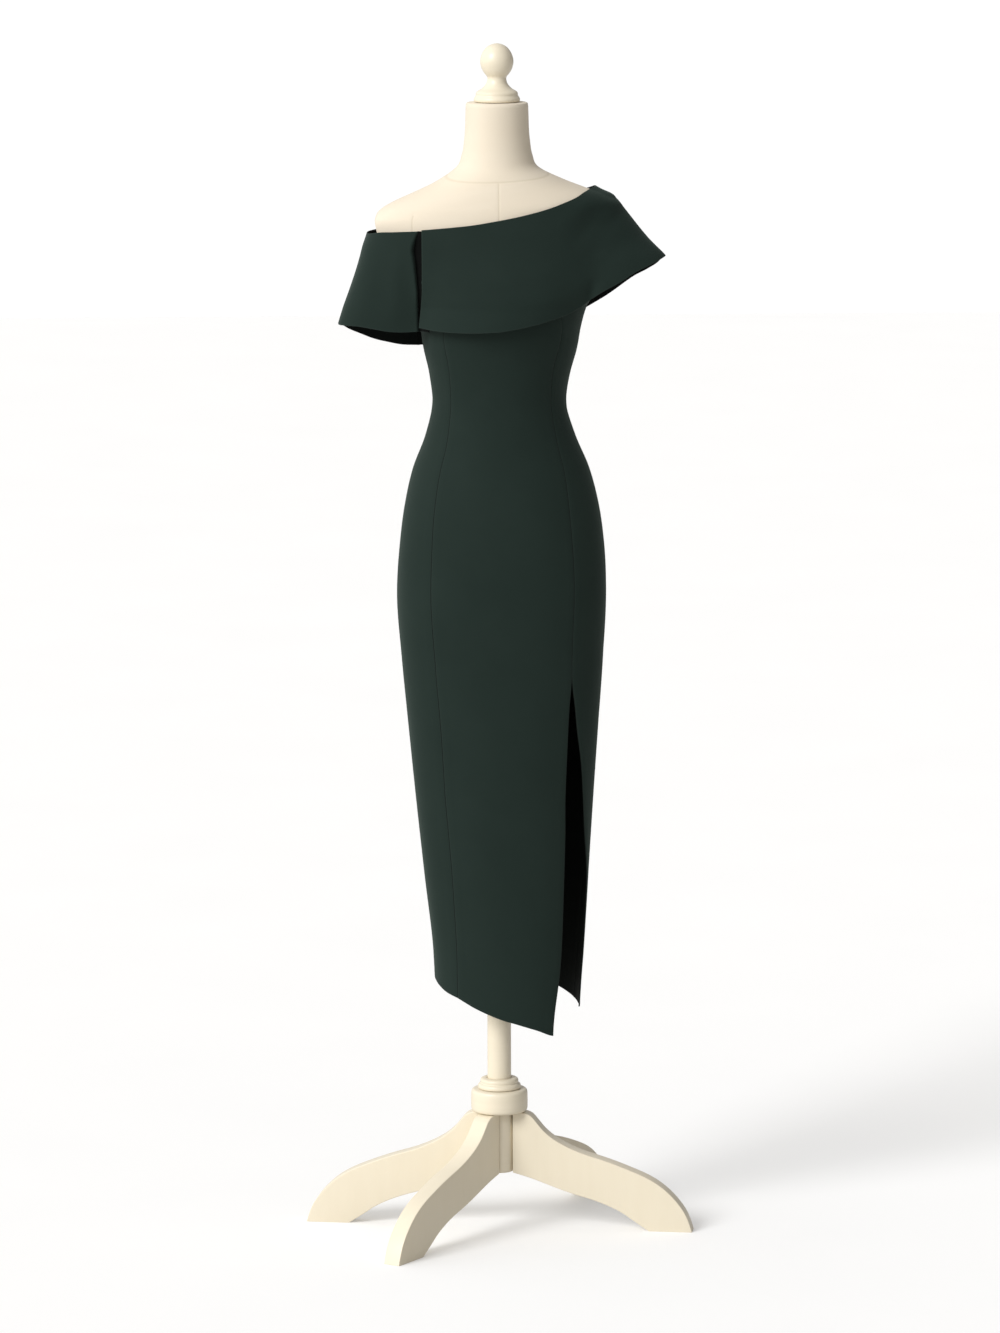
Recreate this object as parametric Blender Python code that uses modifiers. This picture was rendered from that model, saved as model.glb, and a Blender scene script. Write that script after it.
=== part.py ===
# One-shoulder off-shoulder dress on a limbless dress form with a turned wooden stand.
# Metres, +Z up. The dress faces -Y, the wearer's right is -X, the floor is z = 0
# and the pole stands on the Z axis. Sizes below are in millimetres and become metres in mm().

import math

import bmesh
import bpy
import numpy as np

# Cloth and gaps, in millimetres.
CLOTH = 1.6
BAND_CLOTH = 2.0
EASE = 1.0
TOP_EASE = 1.6
TOP_EASE_STARTS = (1450, 1472)
DRESS_OUT = EASE + CLOTH
BAND_OUT = DRESS_OUT + BAND_CLOTH + 1.4
SEAM_HALF_GAP = 0.2
TOUCH = 0.3

# The figure that carries the dress, a row for each level, ellipses with a fullness exponent.
FIGURE_COLUMNS = ("height", "half_width", "front", "back", "centre", "fullness")
FIGURE = (
    (280, 110.0, 82.0, 82.0, 13.4, 2.20),
    (350, 110.0, 82.0, 83.0, 13.4, 2.20),
    (440, 114.5, 83.0, 85.0, 14.8, 2.20),
    (560, 124.5, 86.0, 91.0, 11.8, 2.20),
    (680, 134.5, 90.0, 98.0, 9.2, 2.20),
    (800, 144.6, 95.0, 106.0, 7.4, 2.20),
    (900, 152.9, 99.0, 114.0, 6.3, 2.20),
    (1008, 159.1, 104.0, 122.0, 5.4, 2.20),
    (1080, 155.3, 103.0, 121.0, 6.2, 2.20),
    (1140, 147.4, 99.0, 111.0, 6.0, 2.20),
    (1200, 132.8, 93.0, 95.0, 5.0, 2.15),
    (1250, 112.8, 87.0, 82.0, 4.0, 2.10),
    (1305, 100.1, 84.0, 75.0, 2.4, 2.10),
    (1345, 105.5, 88.0, 79.0, 3.2, 2.10),
    (1385, 115.5, 98.0, 85.0, 4.2, 2.10),
    (1420, 121.5, 112.0, 90.0, 4.6, 2.05),
    (1455, 133.0, 120.0, 95.0, 4.0, 2.00),
    (1490, 157.0, 114.0, 98.0, 3.0, 1.92),
    (1530, 178.0, 98.0, 98.0, 1.0, 1.88),
    (1568, 184.5, 86.0, 93.0, 0.0, 1.90),
    (1592, 186.5, 79.5, 86.0, 0.0, 1.95),
    (1605, 179.0, 76.5, 81.0, 0.0, 2.00),
    (1616, 160.0, 73.0, 77.0, 0.0, 2.00),
    (1628, 131.0, 69.5, 72.0, 0.0, 2.00),
    (1638, 107.0, 66.0, 68.0, 0.0, 2.00),
    (1650, 83.0, 61.0, 63.0, 0.0, 2.00),
    (1663, 63.0, 55.0, 57.5, 0.0, 2.00),
    (1682, 54.2, 50.5, 53.0, 0.0, 2.00),
    (1705, 50.4, 48.0, 50.0, 0.0, 2.00),
    (1752, 48.0, 46.5, 47.5, 0.0, 2.00),
)
NECK_TOP = 1762.0
NECK_EDGE = 4.0
NECK_RADIUS = 50.0
FORM_BOTTOM = 882.0
SHOULDER_TILT = 0.035
TILT_STARTS = (1520, 1580)
TILT_ENDS = (1640, 1672)
ARM_PLATE = 1.03
PLATE_STARTS = (1505, 1535)
PLATE_ENDS = (1590, 1606)
BUST_HEIGHT = 1455.0
BLADE_HEIGHT = 1500.0

# Seams of the dress as a share of the half width from the centre line, by height.
SEAM_COLUMNS = ("height", "front_right", "front_left", "slit_front", "slit_back", "back")
SEAMS = (
    (280, -0.710, 0.610, 0.610, 0.990, 0.62),
    (317, -0.710, 0.612, 0.612, 0.990, 0.62),
    (405, -0.710, 0.672, 0.672, 0.990, 0.62),
    (500, -0.690, 0.688, 0.688, 0.988, 0.62),
    (560, -0.675, 0.688, 0.688, 0.978, 0.62),
    (637, -0.675, 0.682, 0.682, 0.915, 0.62),
    (692, -0.680, 0.668, 0.668, 0.874, 0.62),
    (744, -0.675, 0.667, 0.667, 0.830, 0.62),
    (796, -0.672, 0.667, 0.667, 0.765, 0.62),
    (836, -0.675, 0.669, 0.669, 0.725, 0.62),
    (876, -0.680, 0.679, 0.679, 0.682, 0.62),
    (920, -0.683, 0.670, 0.670, 0.670, 0.62),
    (1018, -0.692, 0.675, 0.675, 0.675, 0.61),
    (1140, -0.709, 0.675, 0.675, 0.675, 0.60),
    (1230, -0.715, 0.715, 0.715, 0.715, 0.60),
    (1300, -0.745, 0.755, 0.755, 0.755, 0.62),
    (1370, -0.724, 0.715, 0.715, 0.715, 0.60),
    (1410, -0.735, 0.745, 0.745, 0.745, 0.58),
    (1480, -0.600, 0.600, 0.600, 0.600, 0.52),
    (1540, -0.560, 0.560, 0.560, 0.560, 0.50),
)
LEFT_SIDE_SEAM = ((280, 112.0), (560, 106.0), (760, 97.0), (900, 90.0), (1540, 90.0))

# Lower and upper edge of the dress by the angle round the figure, 0 in front and 90 at +X.
HEM = ((-180, 386), (-135, 394), (-90, 400), (-72, 392), (-58, 384), (-43, 377), (-26, 363),
       (-15, 354), (0, 342), (20, 328), (37, 317), (70, 349), (100, 353), (115, 359),
       (127, 365), (140, 372), (180, 386))
BODICE_TOP = ((-180, 1518), (-140, 1505), (-115, 1476), (-90, 1468), (-62, 1480), (-35, 1510),
              (0, 1516), (35, 1510), (62, 1480), (90, 1468), (115, 1476), (140, 1505),
              (180, 1518))

# The band round the shoulders: half widths to its two outer edges and the flare's depths.
BAND_COLUMNS = ("height", "left_reach", "right_reach", "left_front", "left_back",
                "right_front", "right_back")
BAND = (
    (1370, 318.0, 261.0, 82.0, 98.0, 60.0, 101.0),
    (1420, 308.0, 246.0, 82.0, 97.0, 63.0, 96.0),
    (1450, 300.0, 236.5, 82.0, 95.0, 71.0, 92.0),
    (1480, 287.0, 225.5, 80.0, 92.0, 78.0, 90.0),
    (1505, 271.0, 217.0, 79.0, 88.0, 83.0, 88.0),
    (1526, 256.0, 211.0, 78.0, 84.0, 86.0, 88.0),
    (1540, 243.5, 207.5, 75.0, 80.0, 86.0, 87.0),
    (1566, 221.3, 199.3, 70.0, 74.0, 85.0, 86.0),
    (1594, 199.3, 196.0, 60.0, 62.0, 82.0, 84.0),
    (1612, 185.0, 194.0, 54.0, 56.0, 80.0, 82.0),
    (1621, 176.4, 192.0, 50.0, 52.0, 78.0, 80.0),
    (1628, 161.0, 190.0, 45.0, 47.0, 76.0, 78.0),
    (1636, 147.0, 188.0, 38.0, 40.0, 74.0, 76.0),
)
BAND_ROUNDNESS = {"left": 2.3, "right": 2.8}
BAND_FRONT_EDGE = 118.3
BAND_BACK_EDGE = 120.0
VALLEY_EDGE = 121.2
MEET = 10.0
HALVES_MEET = 60.0

# Edges of the band's pieces by the share of the way from the centre line to the outer edge.
NECK_FRONT_LEFT = ((0, 1588), (0.11, 1592), (0.41, 1605.5), (0.575, 1615), (0.771, 1625.5),
                   (0.886, 1630), (1, 1634))
HEM_FRONT_LEFT = ((0, 1421.8), (0.1, 1427), (0.226, 1436), (0.34, 1446), (0.464, 1464),
                  (0.549, 1477), (0.642, 1488.6), (0.77, 1505), (0.883, 1515.4), (1, 1525))
NECK_FRONT_RIGHT = ((0, 1588), (0.31, 1582), (0.686, 1577), (1, 1573.4))
HEM_FRONT_RIGHT = ((0, 1421.8), (0.35, 1419.6), (0.57, 1419.5), (0.77, 1420.2), (1, 1423.3))
NECK_BACK_LEFT = ((0, 1586), (0.4, 1602), (0.6, 1613), (0.8, 1625), (1, 1634))
HEM_BACK_LEFT = ((0, 1388), (0.3, 1413), (0.55, 1452), (0.763, 1489), (0.858, 1501),
                 (0.947, 1514), (1, 1525))
NECK_BACK_RIGHT = ((0, 1586), (0.5, 1576), (1, 1569))
HEM_BACK_RIGHT = ((0, 1388), (0.5, 1383), (1, 1379.5))
NECK_SLEEVE_FRONT = ((0, 1571.5), (0.48, 1569.3), (0.84, 1566.8), (1, 1563.4))
HEM_SLEEVE_FRONT = ((0, 1416), (0.18, 1414.8), (0.34, 1415.3), (0.56, 1419.3), (0.78, 1423),
                    (1, 1423))
NECK_SLEEVE_BACK = ((0, 1569), (0.6, 1566), (1, 1563.4))
HEM_SLEEVE_BACK = ((0, 1379.5), (0.19, 1381), (0.346, 1385.5), (0.5, 1391), (0.67, 1400),
                   (0.856, 1411), (1, 1423))

# The tuck where the sleeve dives under the band's front edge: its depth and width by height.
TUCK_COLUMNS = ("height", "depth", "width")
TUCK = ((1370, 7.0, 3.0), (1416, 7.0, 3.0), (1456, 7.0, 4.0), (1476, 7.2, 5.0),
        (1505, 8.5, 8.0), (1528, 9.5, 11.0), (1543, 9.0, 13.5), (1559, 5.0, 9.0),
        (1572, 0.6, 3.0))

# Stand and finial.
POLE_RADIUS = 18.5
POLE_BORE = 19.0
POLE_TOP = 940.0
HUB_RADIUS = 22.5
HUB_BOTTOM = 88.0
HUB_TOP = 184.2
HUB_EDGE = 2.0
SEAT_RADIUS = 68.0
SEAT_THICKNESS = 14.0
SEAT_EDGE = 3.0
LEG_THICKNESS = 28.0
LEG_ANGLES = {"leg_right": 170.5, "leg_left": -9.5, "leg_front": -125.0, "leg_back": 55.0}
ROUND_STEPS = 32

# Side view of a leg: distance from the pole's axis and height, top edge then underside.
LEG_TOP = ((22.8, 184.2), (40, 184.2), (52, 179.5), (61, 168), (74, 152.5), (94, 138),
           (127, 122.5), (170, 110), (203, 98), (236, 84.5), (259, 70), (278, 52), (294, 31),
           (302, 11), (305, 0))
LEG_UNDER = ((237, 0), (214, 15), (192, 30.5), (157, 45.5), (113, 57.5), (81, 69),
             (50, 80.5), (22.8, 88))

# Turned profiles: radius and height, from the top down.
FINIAL = ((0, 1852), (8, 1850.7), (16, 1846.2), (22.2, 1838), (25.4, 1828.5), (25.6, 1820.5),
          (22.6, 1811), (18, 1804.5), (14.6, 1801), (14.3, 1796), (16.6, 1789.5),
          (22.5, 1783), (30, 1779), (32.4, 1776.2), (32, 1773), (33.4, 1770.8),
          (35.6, 1767.5), (35.2, 1764), (33.6, 1762.3), (0, 1762.3))
COLLAR_UPPER = ((26.5, 237.5), (29.4, 235.5), (30, 232.5), (29.2, 229.6), (32, 228.4),
                (33.7, 225.8), (33.7, 222.4), (32.6, 220.8))
COLLAR_LOWER = ((38.5, 220.5), (42.2, 219.2), (44, 216.2), (44.3, 208), (44.3, 190),
                (43, 186.6), (40.5, 184.5))

# Zip at the back: slider and its pull.
ZIP_HEIGHT = 1574.0
SLOPE_BELOW = 10.0
SLOPE_ABOVE = 5.0
SLIDER_SIZE = (7.0, 1.2, 9.0)
SLIDER_STANDS_OFF = 0.45
PIN_HEIGHT = 3.6
PIN_RADIUS = 0.7
EYE_RADIUS = 1.7
EYE_BORE = 1.0
EYE_WIDTH = 3.2
EAR_INNER = 2.0
EAR_WIDTH = 1.2
EAR_RADIUS = 1.6
EAR_RISE = 0.8
PULL_LENGTH = 24.0
PULL_WIDTH = 7.0
PULL_THICKNESS = 1.2
NECK_LENGTH = 7.0
NECK_INSET = 0.1
NECK_OVERLAP = 0.3
TIP_POINTS = 13

COLOURS = {
    "cloth": ((0.018, 0.030, 0.026), 0.75, 0.0),
    "form": ((0.82, 0.74, 0.60), 0.55, 0.0),
    "wood": ((0.84, 0.77, 0.62), 0.40, 0.0),
    "zip": ((0.03, 0.04, 0.035), 0.45, 0.6),
}


def mm(value):
    """A length in millimetres as metres."""
    return value * 0.001


def clear_scene():
    """Remove the objects of the scene that the script opens in."""
    for thing in list(bpy.data.objects):
        bpy.data.objects.remove(thing, do_unlink=True)


def new_collection(name, hidden=False):
    """Add a collection to the scene."""
    group = bpy.data.collections.new(name)
    bpy.context.scene.collection.children.link(group)
    group.hide_render = hidden
    return group


def move_to(thing, group):
    """Keep an object in one collection only."""
    for owner in list(thing.users_collection):
        owner.objects.unlink(thing)
    group.objects.link(thing)


def new_material(name, kind):
    """A Principled material of a piece's own in one of the four finishes."""
    colour, roughness, metallic = COLOURS[kind]
    material = bpy.data.materials.new(name)
    material.use_nodes = True
    shader = material.node_tree.nodes["Principled BSDF"]
    shader.inputs["Base Color"].default_value = (*colour, 1.0)
    shader.inputs["Roughness"].default_value = roughness
    shader.inputs["Metallic"].default_value = metallic
    return material


def new_object(name, mesh, kind):
    """Put a mesh in the dress's collection with a material of its own."""
    thing = bpy.data.objects.new(name, mesh)
    DRESS.objects.link(thing)
    mesh.materials.clear()
    mesh.materials.append(new_material(name, kind))
    return thing


def smooth_curve(knots, values, at):
    """Cubic curve through the knots, with each knot's slope taken from its neighbours."""
    knots = np.asarray(knots, float)
    values = np.asarray(values, float)
    at = np.clip(np.asarray(at, float), knots[0], knots[-1])
    slopes = np.gradient(values, knots)
    left = np.clip(np.searchsorted(knots, at) - 1, 0, len(knots) - 2)
    step = knots[left + 1] - knots[left]
    t = (at - knots[left]) / step
    rise = 1.0 - t
    return (values[left] * (1 + 2 * t) * rise ** 2 + slopes[left] * step * t * rise ** 2
            + values[left + 1] * (3 - 2 * t) * t ** 2 - slopes[left + 1] * step * rise * t ** 2)


def column(table, names, name, at):
    """A named column of a table with the height first, read at some heights."""
    rows = np.asarray(table, float)
    return smooth_curve(rows[:, 0], rows[:, names.index(name)], at)


def pairs(table, at):
    """A two-column table read at some places, straight between its rows."""
    rows = np.asarray(table, float)
    return np.interp(at, rows[:, 0], rows[:, 1])


def step_between(low, high, value):
    """Smooth step from 0 at low to 1 at high."""
    t = np.clip((value - low) / (high - low), 0.0, 1.0)
    return t * t * (3 - 2 * t)


def shoulder_lift(x, z):
    """Rise of the shoulders towards the wearer's left, none at the bust or on the neck."""
    rise = step_between(*TILT_STARTS, z) * (1 - step_between(*TILT_ENDS, z))
    return SHOULDER_TILT * x * rise


def figure(name, z):
    """A column of the figure's table at some heights."""
    return column(FIGURE, FIGURE_COLUMNS, name, z)


def with_top_ease(out, z):
    """An offset from the figure that grows a little where the bodice stands off the chest."""
    return out + TOP_EASE * step_between(*TOP_EASE_STARTS, z) if out > 0 else out


def figure_point(angle, z, out=0.0):
    """Point on the figure's section at a height, moved out by some millimetres."""
    turn = np.radians(angle)
    power = 2.0 / figure("fullness", z)
    across = np.sign(np.sin(turn)) * np.abs(np.sin(turn)) ** power
    along = np.abs(np.cos(turn)) ** power
    out = with_top_ease(out, z)
    wide = figure("half_width", z) + out
    plate = 1 + (ARM_PLATE - 1) * step_between(*PLATE_STARTS, z) * (1 - step_between(*PLATE_ENDS, z))
    across = np.clip(across * plate, -1, 1)
    deep = np.where(np.cos(turn) >= 0, figure("front", z), figure("back", z)) + out
    x = figure("centre", z) + wide * across
    y = np.where(np.cos(turn) >= 0, -deep * along, deep * along)
    return np.stack([x, y, z + shoulder_lift(x, z)], axis=-1)


def figure_depth(x, z, back, out):
    """Depth of the figure's section at a place across it, grown by some millimetres."""
    level = z - shoulder_lift(x, z)
    level = np.maximum(level, BLADE_HEIGHT if back else BUST_HEIGHT)
    out = with_top_ease(out, z)
    share = np.abs(x - figure("centre", level)) / (figure("half_width", level) + out)
    power = figure("fullness", level)
    deep = figure("back" if back else "front", level) + out
    return deep * (1 - np.clip(share, 0, 1) ** power) ** (1 / power)


def band_point(x, z, back):
    """Point on the band: the deeper of the figure and the flare, blended into each other."""
    left = step_between(-HALVES_MEET, HALVES_MEET, x)
    reach = np.where(x >= 0, column(BAND, BAND_COLUMNS, "left_reach", z),
                     column(BAND, BAND_COLUMNS, "right_reach", z))
    face = "back" if back else "front"
    depth = (left * column(BAND, BAND_COLUMNS, "left_" + face, z)
             + (1 - left) * column(BAND, BAND_COLUMNS, "right_" + face, z))
    power = left * BAND_ROUNDNESS["left"] + (1 - left) * BAND_ROUNDNESS["right"]
    share = np.clip(np.abs(x) / reach, 0, 1)
    flare = depth * (1 - share ** power) ** (1 / power)
    body = figure_depth(x, z, back, BAND_OUT)
    deep = (body ** MEET + flare ** MEET) ** (1 / MEET)
    return np.stack([x, deep if back else -deep, z + 0 * x], axis=-1)


def inside_of(points, thickness, held=()):
    """Other side of a wall: points moved in along the grid's normals, held ones kept in line.

    A held pair names a column of the grid and the axis that its inner edge keeps.
    """
    down = np.gradient(points, axis=0)
    across = np.gradient(points, axis=1)
    normal = np.cross(across, down)
    inner = points - thickness * normal / np.linalg.norm(normal, axis=-1, keepdims=True)
    for place, axis in held:
        inner[:, place, axis] = points[:, place, axis]
    return inner


def shell(name, outer, inner, kind="cloth"):
    """Closed wall between two grids of points of the same size, joined round their rims."""
    rows, columns = outer.shape[:2]
    index = np.arange(rows * columns).reshape(rows, columns)
    quads = np.stack([index[:-1, :-1], index[:-1, 1:], index[1:, 1:], index[1:, :-1]], axis=-1)
    quads = quads.reshape(-1, 4)
    rim = np.concatenate([index[0, :-1], index[:-1, -1], index[-1, :0:-1], index[:0:-1, 0]])
    after = np.roll(rim, -1)
    behind = rows * columns
    walls = np.stack([after, rim, rim + behind, after + behind], axis=-1)
    faces = np.concatenate([quads, quads[:, ::-1] + behind, walls])
    points = np.concatenate([outer.reshape(-1, 3), inner.reshape(-1, 3)])
    mesh = bpy.data.meshes.new(name)
    mesh.from_pydata(mm(points).tolist(), [], faces.tolist())
    mesh.shade_smooth()
    mesh.set_sharp_from_angle(angle=math.radians(40))
    return new_object(name, mesh, kind)


def seam_angle(name, z):
    """Angle round the figure of a front or back seam at a height."""
    share = column(SEAMS, SEAM_COLUMNS, name, z)
    turn = np.degrees(np.arcsin(np.abs(share) ** (figure("fullness", z) / 2)))
    return np.sign(share) * turn


def dress_panel(name, start, end, columns):
    """One panel of the dress between two seams: hem, the figure's levels, bodice's top edge."""
    across = np.linspace(0, 1, columns + 1)[None, :]
    above = np.linspace(0, 1, TOP_STEPS + 1)[1:, None]
    levels = np.array(DRESS_LEVELS)[:, None] + 0 * across
    z = np.concatenate([levels[:1], levels, np.repeat(levels[-1:], TOP_STEPS, axis=0)])
    for _ in range(8):
        angle = start(z) + (end(z) - start(z)) * across
        z[0] = pairs(HEM, angle[0])
        z[-TOP_STEPS:] = levels[-1] + above * (pairs(BODICE_TOP, angle[-TOP_STEPS:]) - levels[-1])
    inset = np.degrees(SEAM_HALF_GAP / figure("half_width", z)) * (1 - 2 * across)
    only_edges = (across == 0) | (across == 1)
    angle = angle + np.where(only_edges, inset, 0)
    outside = figure_point(angle, z, DRESS_OUT)
    inside = figure_point(angle, z, DRESS_OUT - CLOTH)
    return shell(name, outside, inside)


def dress_panels():
    """The seven panels of the dress, cut in one from the bodice's top edge to the hem."""
    def front_right(z):
        return seam_angle("front_right", z)

    def slit_front(z):
        return seam_angle("slit_front", z)

    def slit_back(z):
        return seam_angle("slit_back", z)

    def back_right(z):
        return seam_angle("back", z) - 180

    def back_left(z):
        return 180 - seam_angle("back", z)

    def left_side(z):
        return pairs(LEFT_SIDE_SEAM, z)

    def fixed(angle):
        return lambda z: np.full_like(z, angle)

    dress_panel("back_centre_right", fixed(-180), back_right, 5)
    dress_panel("back_side_right", back_right, fixed(-90), 5)
    dress_panel("front_side_right", fixed(-90), front_right, 5)
    dress_panel("front_centre", front_right, slit_front, 10)
    dress_panel("front_side_left", slit_back, left_side, 5)
    dress_panel("back_side_left", left_side, back_left, 5)
    dress_panel("back_centre_left", back_left, fixed(180), 5)


def between_edges(neck, hem, share, rows):
    """Heights from the neck edge down to the hem, a row for each level."""
    down = np.linspace(0, 1, rows + 1)[:, None]
    return pairs(neck, share)[None, :] * (1 - down) + pairs(hem, share)[None, :] * down


def half_band(neck, hem, share, back, outer, rows):
    """Grid of one half of the band, its columns fanning from the centre to its outer edge."""
    z = between_edges(neck, hem, share, rows)
    if outer == "reach":
        x = column(BAND, BAND_COLUMNS, "left_reach", z) * share[None, :]
    else:
        x = -outer * share[None, :] + 0 * z
    return band_point(x, z, back)


def band_front():
    """Front of the band with the wearer's left sleeve in one, and its standing front edge."""
    right = np.linspace(1, 0, BAND_PLAIN_COLUMNS + 1)
    left = np.sin(np.linspace(0, math.pi / 2, BAND_FAN_COLUMNS + 1))[1:]
    right_half = half_band(NECK_FRONT_RIGHT, HEM_FRONT_RIGHT, right, False, BAND_FRONT_EDGE, BAND_ROWS)
    left_half = half_band(NECK_FRONT_LEFT, HEM_FRONT_LEFT, left, False, "reach", BAND_ROWS)
    points = np.concatenate([right_half, left_half], axis=1)
    points[:, -1, 1] = -SEAM_HALF_GAP
    points = points[::-1]
    shell("overlay_front", points, inside_of(points, BAND_CLOTH, ((-1, 1),)))


def band_back():
    """The two backs of the band, which meet at the centre back."""
    fan = np.sin(np.linspace(math.pi / 2, 0, BAND_FAN_COLUMNS + 1))
    points = half_band(NECK_BACK_LEFT, HEM_BACK_LEFT, fan, True, "reach", BAND_ROWS)
    points[:, 0, 1] = SEAM_HALF_GAP
    points[:, -1, 0] = SEAM_HALF_GAP
    points = points[::-1]
    shell("overlay_back_left", points, inside_of(points, BAND_CLOTH, ((0, 1), (-1, 0))))
    plain = np.linspace(0, 1, BAND_PLAIN_COLUMNS + 1)
    points = half_band(NECK_BACK_RIGHT, HEM_BACK_RIGHT, plain, True, BAND_BACK_EDGE, BAND_ROWS)
    points[:, 0, 0] = -SEAM_HALF_GAP
    points = points[::-1]
    shell("overlay_back_right", points, inside_of(points, BAND_CLOTH, ((0, 0), (-1, 0))))


def sleeve():
    """The wearer's right sleeve: round the arm from the back seam to the tuck in front."""
    fan = np.sin(np.linspace(0, math.pi / 2, BAND_SLEEVE_COLUMNS + 1))
    z = between_edges(NECK_SLEEVE_BACK, HEM_SLEEVE_BACK, fan, BAND_ROWS)
    reach = column(BAND, BAND_COLUMNS, "right_reach", z)
    inner = BAND_BACK_EDGE + 2 * SEAM_HALF_GAP
    back = band_point(-(inner + (reach - inner) * fan), z, True)
    back[:, -1, 1] = 0
    share = fan[::-1][1:]
    z = between_edges(NECK_SLEEVE_FRONT, HEM_SLEEVE_FRONT, share, BAND_ROWS)
    reach = column(BAND, BAND_COLUMNS, "right_reach", z)
    width = column(TUCK, TUCK_COLUMNS, "width", z)
    crest = VALLEY_EDGE + width
    front = band_point(-(crest + (reach - crest) * share), z, False)
    into = np.linspace(0, 1, TUCK_STEPS + 1)[1:]
    z = np.repeat(z[:, -1:], TUCK_STEPS, axis=1)
    width = column(TUCK, TUCK_COLUMNS, "width", z)
    tuck = band_point(-(VALLEY_EDGE + width * (1 - into)), z, False)
    tuck[..., 1] += column(TUCK, TUCK_COLUMNS, "depth", z) * step_between(0, 1, into)
    points = np.concatenate([back, front, tuck], axis=1)[::-1]
    shell("sleeve_right", points, inside_of(points, BAND_CLOTH, ((0, 0),)))


def form_body():
    """The limbless form: rings from the neck's top down to a flat base bored for the pole."""
    angles = np.linspace(-180, 180, FORM_COLUMNS + 1)[:-1]
    heights = np.array(FORM_ROWS)
    rings = figure_point(angles[None, :], heights[:, None] + 0 * angles[None, :])
    edge = rings[:1].copy()
    edge[..., :2] *= 1 - NECK_EDGE / NECK_RADIUS
    edge[..., 2] = NECK_TOP
    turn = np.radians(angles)
    ring = np.stack([POLE_BORE * np.sin(turn), -POLE_BORE * np.cos(turn), 0 * turn], axis=-1)
    mouth = ring + [0, 0, FORM_BOTTOM]
    top = ring + [0, 0, POLE_TOP + TOUCH]
    rings = np.concatenate([edge, rings, mouth[None], top[None]])
    rows, columns = rings.shape[:2]
    index = np.arange(rows * columns).reshape(rows, columns)
    index = np.concatenate([index, index[:, :1]], axis=1)
    quads = np.stack([index[:-1, :-1], index[1:, :-1], index[1:, 1:], index[:-1, 1:]], axis=-1)
    faces = quads.reshape(-1, 4).tolist()
    faces.append(index[0, :-1].tolist())
    faces.append(index[-1, :-1][::-1].tolist())
    mesh = bpy.data.meshes.new("form_body")
    mesh.from_pydata(mm(rings).reshape(-1, 3).tolist(), [], faces)
    mesh.shade_smooth()
    new_object("form_body", mesh, "form")


def turned(name, profile, kind="wood"):
    """A turned piece: a profile from its top to its bottom, spun by a Screw modifier."""
    mesh = bpy.data.meshes.new(name)
    edges = [(i, i + 1) for i in range(len(profile) - 1)]
    if profile[0][0] > 0:
        edges.append((len(profile) - 1, 0))
    mesh.from_pydata([(mm(r), 0.0, mm(z)) for r, z in profile], edges, [])
    thing = new_object(name, mesh, kind)
    spin = thing.modifiers.new("spin", "SCREW")
    spin.steps = ROUND_STEPS
    spin.render_steps = ROUND_STEPS
    spin.use_merge_vertices = True
    spin.merge_threshold = 0.00005
    spin.use_smooth_shade = True
    return thing


def bored(profile, bore):
    """Close a turned outline with the wall of its bore."""
    return profile + ((bore, profile[-1][1]), (bore, profile[0][1]))


def turned_pieces():
    """Finial, pole, collars, hub and the seat under the form."""
    turned("finial", FINIAL)
    pole_bottom = HUB_TOP + TOUCH
    turned("pole", ((0, POLE_TOP), (POLE_RADIUS, POLE_TOP), (POLE_RADIUS, pole_bottom), (0, pole_bottom)))
    turned("collar_upper", bored(COLLAR_UPPER, POLE_BORE))
    turned("collar_lower", bored(COLLAR_LOWER, POLE_BORE))
    turned("hub_column", ((0, HUB_TOP), (HUB_RADIUS, HUB_TOP), (HUB_RADIUS, HUB_BOTTOM + HUB_EDGE),
                          (HUB_RADIUS - HUB_EDGE, HUB_BOTTOM), (0, HUB_BOTTOM)))
    seat_top = FORM_BOTTOM - TOUCH
    seat_bottom = seat_top - SEAT_THICKNESS
    inner = SEAT_RADIUS - SEAT_EDGE
    turned("form_seat", bored(((inner, seat_top), (SEAT_RADIUS, seat_top - SEAT_EDGE),
                               (SEAT_RADIUS, seat_bottom + SEAT_EDGE), (inner, seat_bottom)),
                              POLE_BORE))


def legs():
    """Four scroll-sawn legs, one outline each, cut from plank and set round the hub."""
    for name, angle in LEG_ANGLES.items():
        curve = bpy.data.curves.new(name, "CURVE")
        curve.dimensions = "2D"
        curve.fill_mode = "BOTH"
        curve.extrude = mm(LEG_THICKNESS / 2)
        outline = LEG_TOP + LEG_UNDER
        line = curve.splines.new("POLY")
        line.points.add(len(outline) - 1)
        for point, (out, height) in zip(line.points, outline):
            point.co = (mm(out), mm(height), 0, 1)
        line.use_cyclic_u = True
        flat = bpy.data.objects.new(name + "_outline", curve)
        DRESS.objects.link(flat)
        bpy.context.view_layer.update()
        mesh = bpy.data.meshes.new_from_object(flat.evaluated_get(bpy.context.evaluated_depsgraph_get()))
        bpy.data.objects.remove(flat, do_unlink=True)
        work = bmesh.new()
        work.from_mesh(mesh)
        bmesh.ops.remove_doubles(work, verts=work.verts, dist=0.00001)
        bmesh.ops.recalc_face_normals(work, faces=work.faces)
        work.to_mesh(mesh)
        work.free()
        leg = new_object(name, mesh, "wood")
        leg.rotation_euler = (math.pi / 2, 0, math.radians(angle))


def guide(thing):
    """Keep a piece that is joined to another as a hidden guide."""
    move_to(thing, GUIDES)
    thing.hide_render = True
    thing.display_type = "WIRE"
    return thing


def box(name, size, centre):
    """A box of a size in millimetres."""
    bpy.ops.mesh.primitive_cube_add(size=1, location=[mm(c) for c in centre])
    thing = bpy.context.object
    thing.name = name
    thing.scale = [mm(s) for s in size]
    bpy.ops.object.transform_apply(location=True, rotation=False, scale=True)
    return thing


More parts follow.
